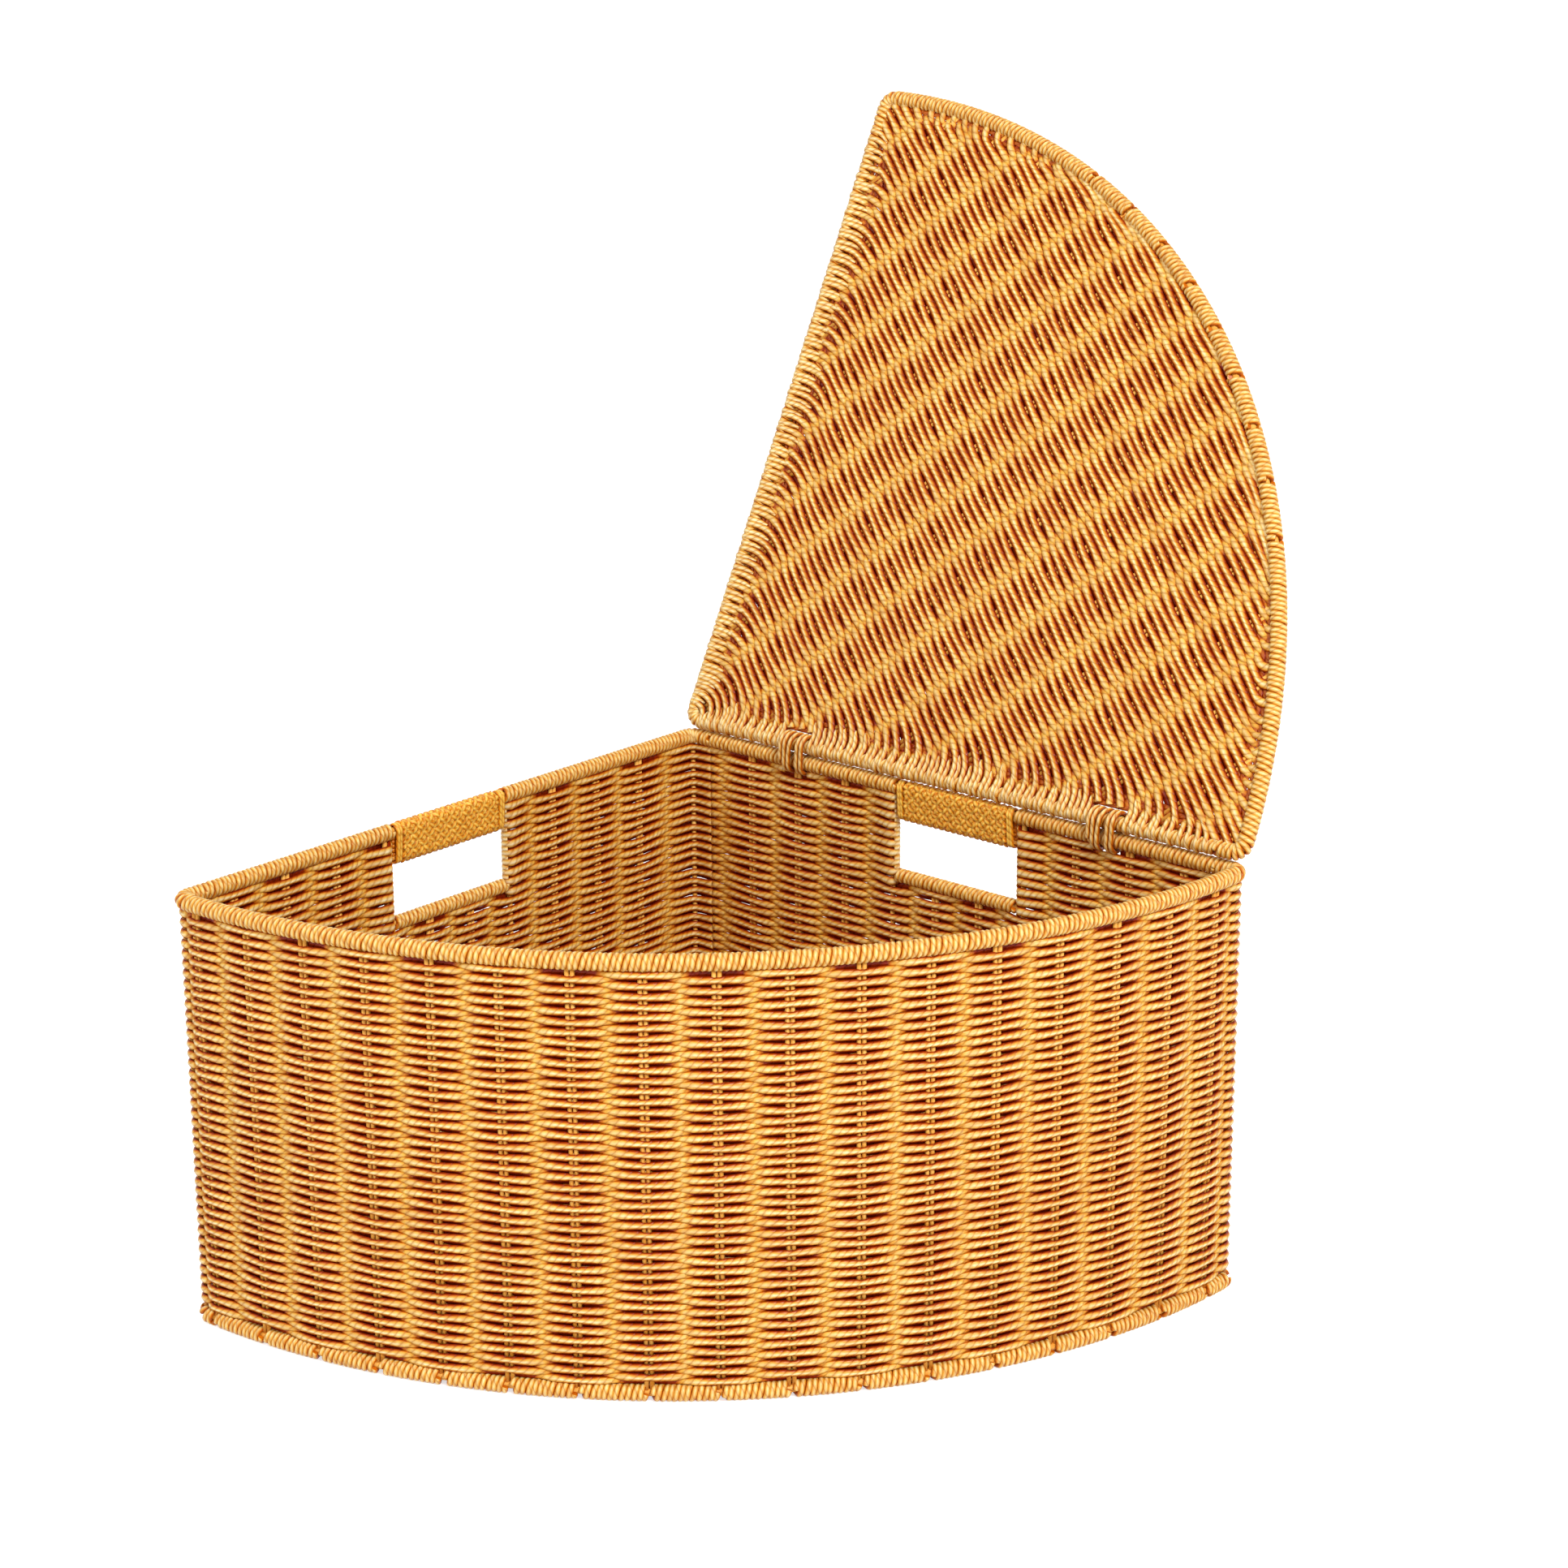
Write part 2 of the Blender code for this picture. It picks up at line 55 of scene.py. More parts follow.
# Metres. Plan points are about the back corner, where the two straight walls' middles meet.
basket = {
    "side": 0.390,  # back corner to front corner
    "wallHeight": 0.232,  # bottom ring to top ring
    "cornerRadius": 0.0065,
    "cordRadius": 0.00135,
    "ringWire": 0.0020,
    "stakeWire": 0.0015,
    "ringLift": 0.0042,  # floor to the bottom ring's middle
    "clearance": 0.0003,  # between a winding and what stands beside it
    "seed": 7,
}
clearance = basket["clearance"]
dice = np.random.default_rng(basket["seed"])
anyPhase = (0.0, 6.28)
rimRadius = basket["ringWire"] + 2 * basket["cordRadius"]
weaveHalf = basket["stakeWire"] + 2 * basket["cordRadius"]
frontReach = math.sqrt((basket["side"] - basket["cornerRadius"]) ** 2 - basket["cornerRadius"] ** 2)
frontTurn = math.asin(basket["cornerRadius"] / (basket["side"] - basket["cornerRadius"]))
bodyPlace = np.array((0.0, basket["side"] / 2, basket["ringLift"]))
up = np.array((0.0, 0.0, 1.0))


def unit(vectors):
    return vectors / np.maximum(np.linalg.norm(vectors, axis=1)[:, None], 1e-12)


# From 0 to 1 with a soft start and end
def smooth(share):
    share = np.clip(share, 0.0, 1.0)
    return share * share * (3.0 - 2.0 * share)


# First at a share of 0, second at 1
def between(first, second, share):
    return first + (second - first) * share


def stepCount(length, step, fewest):
    return max(fewest, round(length / step))


def stepLengths(points):
    return np.linalg.norm(np.diff(points, axis=0), axis=1)


# Distance along a line of points to each of them
def travelled(points):
    return np.concatenate(([0.0], np.cumsum(stepLengths(points))))


# The walls' middle line from above is one closed ring, from the back corner along the left wall
ringSampling = {"arcStep": 0.00025, "straightCount": 1500, "samePoint": 1e-7}


# side is -1 on the left wall and 1 on the right one
def sidePoint(side, along, outward=0.0):
    run = along / math.sqrt(2)
    out = outward / math.sqrt(2)
    return np.array((side * (run + out), out - run))


# Along a straight wall, and out of it
def wallWays(side):
    return np.array((*sidePoint(side, 1.0), 0.0)), np.array((*sidePoint(side, 0.0, 1.0), 0.0))


def arcPoints(centre, radius, start, end):
    angles = np.linspace(start, end, stepCount(abs(end - start) * radius, ringSampling["arcStep"], fewest=8))
    return np.stack((centre[0] + radius * np.cos(angles), centre[1] + radius * np.sin(angles)), axis=1)


def ringSamples():
    side = basket["side"]
    corner = basket["cornerRadius"]
    eighth = math.pi / 4
    left = sidePoint(-1, frontReach, -corner)
    right = sidePoint(1, frontReach, -corner)
    back = (0.0, -corner * math.sqrt(2))
    straight = np.linspace(corner, frontReach, ringSampling["straightCount"])[:, None]
    parts = [
        arcPoints(back, corner, 2 * eighth, 3 * eighth),
        sidePoint(-1, 1.0) * straight,
        arcPoints(left, corner, 3 * eighth, 5 * eighth + frontTurn),
        arcPoints((0.0, 0.0), side, 5 * eighth + frontTurn, 7 * eighth - frontTurn),
        arcPoints(right, corner, 7 * eighth - frontTurn, 9 * eighth),
        sidePoint(1, 1.0) * straight[::-1],
        arcPoints(back, corner, eighth, 2 * eighth),
    ]
    points = np.concatenate(parts)
    points = points[np.concatenate(([True], stepLengths(points) > ringSampling["samePoint"]))]
    return points, travelled(points)


ringPoints, ringPlaces = ringSamples()
ringLength = ringPlaces[-1]
ringTangents = unit(np.gradient(ringPoints, ringPlaces, axis=0))
ringNormals = np.stack((ringTangents[:, 1], -ringTangents[:, 0]), axis=1)


def ringColumns(places, values):
    return [np.interp(np.mod(places, ringLength), ringPlaces, values[:, axis]) for axis in (0, 1)]


# Points of the ring, moved outward and set at a height
def ringAt(places, outward, height):
    sides = zip(ringColumns(places, ringPoints), ringColumns(places, ringNormals))
    columns = [middle + outward * normal for middle, normal in sides]
    return np.stack(columns + [np.broadcast_to(height, np.shape(places))], axis=1)


def ringNormalAt(places):
    return np.stack(ringColumns(places, ringNormals) + [np.zeros(np.shape(places))], axis=1)


def placeOf(point):
    gaps = np.linalg.norm(ringPoints - np.asarray(point)[:2], axis=1)
    return ringPlaces[int(np.argmin(gaps))]


def wallPlace(side, along):
    return placeOf(sidePoint(side, along))


cordShape = {
    "crestPower": 1.8,  # above 1 a strand's outer side narrows late on its way to a stake
    "sidePaintedLight": 0.42,  # painted lightness of both faces of a strand between two stakes
    "edgePaintedLight": 0.22,  # and painted lightness of its edges there
    "farthestStart": 40.0,  # metres by which two strands may be apart in their paper and twist
}


def strandPoints(run, angles):
    path = run["path"]
    high, wide, lift, crest = (
        np.broadcast_to(run[key], (len(path),))[:, None] for key in ("high", "wide", "lift", "crest")
    )
    tangent = unit(np.gradient(path, axis=0))
    across = unit(np.cross(tangent, np.broadcast_to(run["face"], path.shape)))
    facing = np.cross(across, tangent)
    side = np.cos(angles)[None, :]
    narrow = 1.0 - crest * ((np.abs(lift) + lift * side) / 2) ** cordShape["crestPower"]
    rise = high * side
    breadth = wide * (np.sin(angles)[None, :] * narrow)
    points = path[:, None, :] + rise[:, :, None] * facing[:, None, :]
    return points + breadth[:, :, None] * across[:, None, :]


# Painted light: 1 for a painted highlight on a strand's outer side, 0 for painted shade where it faces the
# stake
def strandPaintedLight(run, angles):
    lift = np.broadcast_to(run["lift"], (len(run["path"]),))[:, None]
    side = np.cos(angles)[None, :]
    level = 1.0 - np.abs(lift)
    rounded = np.sqrt(np.abs(side))
    faces = cordShape["sidePaintedLight"] * level * rounded
    edges = cordShape["edgePaintedLight"] * level**2 * (1.0 - rounded)
    return run["shade"] * (0.5 + 0.5 * lift * side + faces + edges)


def strandFaces(count, sides, offset):
    along = np.arange(count - 1)[:, None] * sides + offset
    here = np.arange(sides)[None, :]
    there = (here + 1) % sides
    quads = np.stack((along + here, along + there, along + sides + there, along + sides + here), axis=2)
    firstEnd = list(range(offset + sides - 1, offset - 1, -1))
    lastEnd = list(range(offset + (count - 1) * sides, offset + count * sides))
    return quads.reshape(-1, 4).tolist() + [firstEnd, lastEnd]


# Metres along the strand, and turns round it
def strandMap(travel, sides):
    shape = (len(travel) - 1, sides)
    low = np.broadcast_to(travel[:-1, None], shape)
    top = np.broadcast_to(travel[1:, None], shape)
    near = np.broadcast_to(np.arange(sides)[None, :] / sides, shape)
    far = near + 1 / sides
    corners = [np.stack(corner, axis=2) for corner in ((low, near), (low, far), (top, far), (top, near))]
    ends = [np.full((sides, 2), (place, 0.0)) for place in (travel[0], travel[-1])]
    return np.concatenate([np.stack(corners, axis=2).reshape(-1, 2)] + ends)


def cordMesh(name, runs, sides):
    points, faces, maps, paintedLights, tones = [], [], [], [], []
    angles = 2 * math.pi * np.arange(sides) / sides
    offset = 0
    for run in runs:
        path = run["path"]
        count = len(path)
        points.append(strandPoints(run, angles).reshape(-1, 3))
        paintedLights.append(strandPaintedLight(run, angles).ravel())
        tones.append(np.full(count * sides, dice.uniform(0.0, 1.0)))
        faces.extend(strandFaces(count, sides, offset))
        start = dice.uniform(0.0, cordShape["farthestStart"])
        maps.append(strandMap(travelled(path) + start, sides))
        offset += count * sides
    mesh = bpy.data.meshes.new(name)
    mesh.from_pydata(np.concatenate(points).tolist(), [], faces)
    layer = mesh.uv_layers.new(name="cordMap")
    layer.data.foreach_set("uv", np.concatenate(maps).astype(np.float32).ravel())
    for title, values in (("paintedLight", paintedLights), ("tone", tones)):
        field = mesh.attributes.new(title, "FLOAT", "POINT")
        field.data.foreach_set("value", np.concatenate(values).astype(np.float32))
    mesh.polygons.foreach_set("use_smooth", [len(face) == 4 for face in faces])  # a strand's ends stay flat
    mesh.update()
    return mesh


# lift is 1 where a strand's face is its outer side, -1 where the other side is, and 0 in between.
# crest narrows the outer side, so that the inner side closes the gap to the next strand.
# lift also sets a strand's painted light, and shade scales that down as painted shade
def cordRun(path, face, high, wide=None, lift=1.0, crest=0.0, shade=1.0):
    run = {"path": path, "face": face, "high": high, "lift": lift, "crest": crest, "shade": shade}
    run["wide"] = high if wide is None else wide
    return run


def addObject(name, data):
    item = bpy.data.objects.new(name, data)
    bpy.context.scene.collection.objects.link(item)
    return item


# Long weaves become several meshes, each below the limit of faces
def addCords(name, runs, nodes, body, material, sides=8, limit=90000, place=None):
    pieces = []
    groups = [[]]
    size = 0
    for run in runs:
        faces = len(run["path"]) * sides
        if size + faces > limit and groups[-1]:
            groups.append([])
            size = 0
        groups[-1].append(run)
        size += faces
    for number, group in enumerate(groups):
        title = name if len(groups) == 1 else f"{name}{number + 1}"
        mesh = cordMesh(title, group, sides)
        mesh.transform(Matrix.Translation(bodyPlace) if place is None else place)
        item = addObject(title, mesh)
        mesh.materials.append(material)
        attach(item, body)
        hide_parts(*nodes)
        pieces.append(item)
    print(name, len(pieces), "meshes,", sum(len(piece.data.polygons) for piece in pieces), "faces")
    return pieces


# Two-ply paper cord, from painted shade in the gaps through its own amber to a painted highlight on the
# outer side of a strand
cordLook = {
    "shades": (
        (0.59, (0.290, 0.0190, 0.0006)),  # painted shade on the sides turned away
        (0.77, (0.62, 0.178, 0.0060)),
        (0.88, (0.750, 0.415, 0.0580)),
        (0.95, (0.835, 0.620, 0.285)),
        (1.00, (0.91, 0.770, 0.460)),  # painted highlight on the outer side of a strand
    ),
    "shadePowers": (0.50, 1.0, 1.55),  # painted shade in the grooves, and the paper's darker tone and streaks, turn redder: red fades least, blue most
    "layLength": 0.0090,  # one full turn of the two plies
    "laySpread": 0.35,
    "plyPower": 0.5,  # below 1 the plies are full and the grooves between them narrow
    # painted shade at the bottom of the grooves between the plies
    "grooveShade": 0.44,
    "toneSpread": 0.22,
    "streakSpread": 0.72,
    "streaksPerTurn": 2.4,
    "streaksPerMetre": 230.0,
    "streakDetail": 3.0,
    "streakRelief": 0.5,
    "bumpHeight": 0.00038,
    "bumpStrength": 0.8,
    "roughness": 0.30,
    "gloss": 0.24,
}


# Another node's output is linked to its socket, anything else is set on the socket itself
def setInputs(tree, node, inputs):
    for name, value in inputs.items():
        if isinstance(value, bpy.types.NodeSocket):
            tree.links.new(value, node.inputs[name])
        else:
            node.inputs[name].default_value = value


def addNode(tree, kind, inputs=None, **settings):
    node = tree.nodes.new("ShaderNode" + kind)
    for name, value in settings.items():
        setattr(node, name, value)
    setInputs(tree, node, inputs or {})
    return node.outputs


def calculate(tree, operation, *values):
    return addNode(tree, "Math", dict(enumerate(values)), operation=operation)[0]


# Stretches 0 to 1 to a band of the given width about 1
def aboutOne(tree, value, width):
    return calculate(tree, "ADD", calculate(tree, "MULTIPLY", value, width), 1.0 - width / 2)


def fieldValue(tree, name):
    return addNode(tree, "Attribute", attribute_name=name)["Fac"]


# shades are positions with their colours
def addRamp(tree, value, shades):
    ramp = tree.nodes.new("ShaderNodeValToRGB")
    stops = ramp.color_ramp.elements
    stops.remove(stops[1])
    for number, (position, colour) in enumerate(shades):
        stop = stops[0] if number == 0 else stops.new(position)
        stop.position = position
        stop.color = (*colour, 1.0)
    tree.links.new(value, ramp.inputs["Fac"])
    return ramp.outputs["Color"]


def newMaterial(name):
    material = bpy.data.materials.new(name)
    material.use_nodes = True
    return material, material.node_tree, material.node_tree.nodes["Principled BSDF"]


# lowest is the least painted light that the shades start from, so that the painted shade stays lighter
def cordMaterial(name, tint=(1.0, 1.0, 1.0), lowest=0.0):
    material, tree, shader = newMaterial(name)
    place = addNode(tree, "SeparateXYZ", {"Vector": addNode(tree, "UVMap", uv_map="cordMap")["UV"]})
    tone = fieldValue(tree, "tone")
    turns = calculate(tree, "MULTIPLY", place["X"], 1.0 / cordLook["layLength"])
    turns = calculate(tree, "MULTIPLY", turns, aboutOne(tree, tone, cordLook["laySpread"]))
    twist = calculate(tree, "ADD", turns, place["Y"])
    ply = calculate(tree, "COSINE", calculate(tree, "MULTIPLY", twist, 2 * math.pi))
    bulge = calculate(tree, "POWER", calculate(tree, "ABSOLUTE", ply), cordLook["plyPower"])
    # Long streaks in the paper, which follow the twist
    streakPlace = {
        "X": calculate(tree, "MULTIPLY", place["X"], cordLook["streaksPerMetre"]),
        "Y": calculate(tree, "MULTIPLY", twist, cordLook["streaksPerTurn"]),
    }
    streakNoise = {
        "Vector": addNode(tree, "CombineXYZ", streakPlace)["Vector"],
        "Scale": 1.0,
        "Detail": cordLook["streakDetail"],
    }
    streaks = addNode(tree, "TexNoise", streakNoise, noise_dimensions="2D")["Fac"]
    paintedLight = fieldValue(tree, "paintedLight")
    if lowest > 0.0:
        paintedLight = calculate(tree, "MAXIMUM", paintedLight, lowest)
    shades = []
    for position, colour in cordLook["shades"]:
        shades.append((position, [min(1.0, c * t) for c, t in zip(colour, tint)]))
    # Painted shade in the grooves between the plies, with the paper's own tone and streaks
    shade = calculate(tree, "MULTIPLY", bulge, 1.0 - cordLook["grooveShade"])
    shade = calculate(tree, "ADD", shade, cordLook["grooveShade"])
    shade = calculate(tree, "MULTIPLY", shade, aboutOne(tree, tone, cordLook["toneSpread"]))
    shade = calculate(tree, "MULTIPLY", shade, aboutOne(tree, streaks, cordLook["streakSpread"]))
    channels = zip(("Red", "Green", "Blue"), cordLook["shadePowers"])
    deepened = {channel: calculate(tree, "POWER", shade, power) for channel, power in channels}
    mixed = {
        "Factor": 1.0,
        "A": addRamp(tree, paintedLight, shades),
        "B": addNode(tree, "CombineColor", deepened)["Color"],
    }
    fibres = calculate(tree, "MULTIPLY", streaks, cordLook["streakRelief"])
    relief = {
        "Strength": cordLook["bumpStrength"],
        "Distance": cordLook["bumpHeight"],
        "Height": calculate(tree, "ADD", bulge, fibres),
    }
    finish = {
        "Base Color": addNode(tree, "Mix", mixed, data_type="RGBA", blend_type="MULTIPLY")["Result"],
        "Normal": addNode(tree, "Bump", relief)["Normal"],
        "Roughness": cordLook["roughness"],
        "Specular IOR Level": cordLook["gloss"],
    }
    setInputs(tree, shader, finish)
    return material


weftPaper = cordMaterial("weftPaperCord")
rimPaper = cordMaterial("rimPaperCord", tint=(0.96, 0.85, 0.62), lowest=0.75)
bandPaper = cordMaterial("bandPaperCord", tint=(1.05, 0.82, 0.29), lowest=0.81)
lashingPaper = cordMaterial("lashingPaperCord", tint=(1.00, 0.95, 0.84), lowest=0.70)

wireCoat = {
    "shades": ((0.35, (0.80, 0.33, 0.034)), (0.7, (0.95, 0.52, 0.110))),
    "speckle": 260.0,
    "speckleDetail": 4.0,
    "roughness": 0.42,
}


def wireMaterial():
    material, tree, shader = newMaterial("amberCoatedWire")
    place = addNode(tree, "TexCoord")["Object"]
    speckle = {"Vector": place, "Scale": wireCoat["speckle"], "Detail": wireCoat["speckleDetail"]}
    colour = addRamp(tree, addNode(tree, "TexNoise", speckle)["Fac"], wireCoat["shades"])
    finish = {
        "Base Color": colour,
        "Roughness": wireCoat["roughness"],
        "Specular IOR Level": cordLook["gloss"],
    }
    setInputs(tree, shader, finish)
    return material


wirePaint = wireMaterial()
print("materials made")

handHole = {
    "shift": 0.0055,  # from the middle of its wall towards the front
    "width": 0.085,
    "height": 0.029,
    "drop": 0.0196,  # top ring's middle down to the hole
    "shortStakes": 2,
}
stakeLayout = {"frontSpacing": 0.036, "frontShift": 0.005, "wallSpacing": 0.0355, "ribSpacing": 0.033}
holeMiddle = basket["side"] / 2 + handHole["shift"]
holeStart = holeMiddle - handHole["width"] / 2
holeEnd = holeMiddle + handHole["width"] / 2
rearUpright = holeStart - weaveHalf
frontUpright = holeEnd + weaveHalf
bandBar = basket["wallHeight"] - handHole["drop"] + weaveHalf
sillBar = basket["wallHeight"] - handHole["drop"] - handHole["height"] - weaveHalf
rearSeam = basket["cornerRadius"] + 2 * rimRadius
frontSeam = frontReach - 2 * rimRadius


# Distances along a straight wall
def wallStakes():
    places = [rearUpright, frontUpright]
    place = rearUpright - stakeLayout["wallSpacing"]
    while place > basket["cornerRadius"] + stakeLayout["wallSpacing"] / 2:
        places.append(place)
        place -= stakeLayout["wallSpacing"]
    place = frontUpright + stakeLayout["wallSpacing"]
    while place < frontReach - stakeLayout["wallSpacing"] / 2:
        places.append(place)
        place += stakeLayout["wallSpacing"]
    return sorted(places)


def frontStakes():
    sweep = math.pi / 2
    count = round(basket["side"] * sweep / stakeLayout["frontSpacing"])
    start = math.pi * 5 / 4 - stakeLayout["frontShift"] / basket["side"]
    angles = [start + sweep * (i + 0.5) / count for i in range(count)]
    return [(basket["side"] * math.cos(a), basket["side"] * math.sin(a)) for a in angles]


def cornerPost(side):
    corner = basket["cornerRadius"]
    angle = math.pi + frontTurn / 2
    centre = sidePoint(side, frontReach, -corner)
    return centre + corner * np.array((math.cos(angle) * -side, math.sin(angle)))


# All stakes as places along the ring, with those of the posts and uprights
shortGaps = handHole["shortStakes"] + 1
shortStakes = [rearUpright + (frontUpright - rearUpright) * i / shortGaps for i in range(1, shortGaps)]
tallPlaces = [0.0]
tallPlaces += [wallPlace(side, along) for side in (-1, 1) for along in wallStakes()]
tallPlaces += [placeOf(cornerPost(side)) for side in (-1, 1)]
tallPlaces += [placeOf(point) for point in frontStakes()]
tallPlaces = np.array(sorted(tallPlaces))
shortPlaces = [wallPlace(side, along) for side in (-1, 1) for along in shortStakes]
allPlaces = np.array(sorted(list(tallPlaces) + shortPlaces))
print("stakes:", len(tallPlaces), "tall,", len(shortPlaces), "short")


# Counts stakes, with shares in between
def stakePhase(places, stakes):
    closed = np.concatenate((stakes, [ringLength]))
    return np.interp(places, closed, np.arange(len(closed)))


wallWeft = {
    "rows": 79,  # below the last one, which fills the slot under the rim
    "slot": 0.0030,
    "step": 0.0027,
    "reach": 0.0019,  # stake to the middle of the strand that passes it
    "turnReach": 0.0029,  # the same where a strand turns round a hand hole's upright
    "turnBlend": 0.012,  # stretch over which it changes from one to the other
    "turnSweep": 2.3,  # radians round the upright
    "turnPoints": 8,
    "floatTall": 0.00290,  # half height of a strand where it passes a stake
    "crossTall": 0.00165,  # and where it squeezes between its neighbours
    "floatThick": 0.00118,
    "crossThick": 0.00132,
    "skirt": (0.16, 0.80),  # stretch of the way to a stake over which a strand widens
    "plain": (0.30, 0.86),  # and over which it turns out
    "turnedEarly": 0.4,  # how much of that turn is spread over the whole way
    "notch": (-0.0031, -0.0014, 0.0014, 0.0031),  # extra points beside each stake
    "notchStretch": (0.968, 0.024),  # where a float draws in beside a stake, and over how much of the way
    "notchCrest": 1.1,  # how much of its crest it loses there, for each share that it draws in
    "drawnIn": 0.30,  # how much narrower a float is just at the stake, which shows there
    "drawnInStraight": 0.10,  # the same on the straight walls, whose rows lie closer
    "endClear": 0.003,  # no extra points this close to a row's end
    "pointClear": 0.0009,  # and no other points this close to an extra one
    "crest": 0.75,  # how much narrower the outer side of a float is
    "crestBlend": 0.016,  # stretch beside an upright over which the crest comes back
    "crossing": 0.82,  # below 1 the strands change sides more sharply
}
wallWaver = {
    "size": 0.00030,
    "shared": ((0.083, 40.0), (0.21, -67.0)),  # wavelengths, and radians per metre of height
    "sharedPart": 0.6,
    "ownLength": 0.047,
    "settleLow": 0.02,  # distances from the base and the rim over which the rows begin to waver
    "settleHigh": 0.03,
}
sillPush = {"rise": 0.0008, "fullDepth": 0.002, "blendDepth": 0.008, "endBlend": 0.012}
lowestRow = rimRadius + clearance
rowPitch = (basket["wallHeight"] - rimRadius - wallWeft["slot"] - lowestRow) / wallWeft["rows"]
rowShifts = dice.uniform(*anyPhase, wallWeft["rows"] + 2)


def rowHeight(row):
    return lowestRow + rowPitch * (row + 0.5)


# 1 where a strand passes in front of a stake, -1 where it passes behind one, 0 where it crosses between them
def swing(phase, row):
    wave = np.cos(math.pi * (phase + row))
    return np.sign(wave) * np.abs(wave) ** wallWeft["crossing"]


# How far a strand has changed on its way from a crossing to a stake: it widens first and turns out later
def floatShare(wave, stretch="skirt"):
    first, last = wallWeft[stretch]
    return smooth((np.abs(wave) - first) / (last - first))


# How far a strand's outer side is turned out, from -1 behind a stake to 1 in front of it
def turnedOut(wave):
    early = wallWeft["turnedEarly"]
    return np.sign(wave) * (early * np.abs(wave) + (1.0 - early) * floatShare(wave, "plain"))


def floatSize(wave, widen=1.0, cross=wallWeft["crossTall"]):
    share = floatShare(wave)
    tall = between(cross, wallWeft["floatTall"] * widen, share)
    return between(wallWeft["crossThick"], wallWeft["floatThick"], share), tall


def atStake(wave):
    first, stretch = wallWeft["notchStretch"]
    return smooth((np.abs(wave) - first) / stretch)


def withStakes(places, stakes):
    shifts = [turn * ringLength + notch for turn in (-1, 0, 1) for notch in wallWeft["notch"]]
    near = np.concatenate([stakes + shift for shift in shifts])
    near = near[(near > places[0] + wallWeft["endClear"]) & (near < places[-1] - wallWeft["endClear"])]
    free = np.abs(places[:, None] - near[None, :]).min(axis=1) > wallWeft["pointClear"]
    free[[0, -1]] = True
    return np.sort(np.concatenate((places[free], near)))


# Rows just below a sill are pushed up against it
def underSill(places, height):
    depth = sillBar - weaveHalf - height
    if depth < 0.0:
        return 0.0
    rise = np.zeros(np.shape(places))
    for side in (-1, 1):
        past = places - wallPlace(side, holeMiddle) + ringLength / 2
        away = np.abs(np.mod(past, ringLength) - ringLength / 2)
        rise += smooth((handHole["width"] / 2 - away) / sillPush["endBlend"])
    return sillPush["rise"] * smooth(1.0 - (depth - sillPush["fullDepth"]) / sillPush["blendDepth"]) * rise


def waver(places, height, row):
    turns = places * 2 * math.pi
    shared = sum(np.sin(turns / length + lean * height) for length, lean in wallWaver["shared"])
    own = np.sin(turns / wallWaver["ownLength"] + rowShifts[row])
    low = height / wallWaver["settleLow"]
    high = (basket["wallHeight"] - height) / wallWaver["settleHigh"]
    wave = wallWaver["size"] * (shared * wallWaver["sharedPart"] + own)
    return wave * min(1.0, low, high) + underSill(places, height)


def wallRow(row, start, end, stakes, drawnIn, turnStart=False, turnEnd=False):
    height = rowHeight(row)
    count = stepCount(end - start, wallWeft["step"], fewest=6)
    places = withStakes(np.linspace(start, end, count + 1), stakes)
    wave = swing(stakePhase(np.mod(places, ringLength), stakes), row)
    thick, tall = floatSize(wave)
    tall = tall * (1.0 - drawnIn * atStake(wave))
    reach = np.full(len(places), wallWeft["reach"])
    extra = wallWeft["turnReach"] - wallWeft["reach"]
    if turnStart:
        reach += extra * smooth(1.0 - (places - start) / wallWeft["turnBlend"])
    if turnEnd:
        reach += extra * smooth(1.0 - (end - places) / wallWeft["turnBlend"])
    path = ringAt(places, reach * wave, 0.0)
    path[:, 2] = height + waver(places, height, row)
    parts = [[path, ringNormalAt(places), thick, tall, wave]]
    if turnStart:
        turn = uprightTurn(start, -1, wave[0], path[0, 2])
        parts[0] = [values[1:] for values in parts[0]]
        parts.insert(0, [values[::-1] for values in turn])
    if turnEnd:
        turn = uprightTurn(end, 1, wave[-1], path[-1, 2])
        parts[-1] = [values[:-1] for values in parts[-1]]
        parts.append(turn)
    path, face, thick, tall, lift = [np.concatenate(values) for values in zip(*parts)]
    crest = wallWeft["crest"] * floatShare(lift) * (1.0 - wallWeft["notchCrest"] * drawnIn * atStake(lift))
    for turned, tip in ((turnStart, path[0]), (turnEnd, path[-1])):
        if turned:
            crest *= smooth(np.linalg.norm(path - tip, axis=1) / wallWeft["crestBlend"])
    return cordRun(path, face, thick, tall, turnedOut(lift), crest)


# A strand turns back round the upright of a hand hole
def uprightTurn(place, direction, side, height):
    count = wallWeft["turnPoints"]
    turn = np.linspace(0.0, wallWeft["turnSweep"], count)
    reach = wallWeft["turnReach"]
    path = ringAt(place + direction * reach * np.sin(turn), side * reach * np.cos(turn), 0.0)
    path[:, 2] = height
    centre = ringAt(np.full(count, place), 0.0, 0.0)
    centre[:, 2] = height
    tall = np.linspace(wallWeft["floatTall"], wallWeft["crossTall"], count)
    face = side * unit(path - centre)
    return [path, face, np.full(count, wallWeft["crossThick"]), tall, np.full(count, side)]


uprightPairs = sorted(
    sorted(wallPlace(side, along) for along in (rearUpright, frontUpright)) for side in (-1, 1)
)


# Stretches of a row beside the hand holes, and whether it turns back at each end
def rowStretches(start, end):
    stretches = []
    here = start
    fresh = False
    for low, high in uprightPairs:
        for shift in (-ringLength, 0.0, ringLength):
            if start < low + shift and high + shift < end:
                stretches.append((here, low + shift, fresh, True))
                here = high + shift
                fresh = True
    stretches.append((here, end, fresh, False))
    return stretches


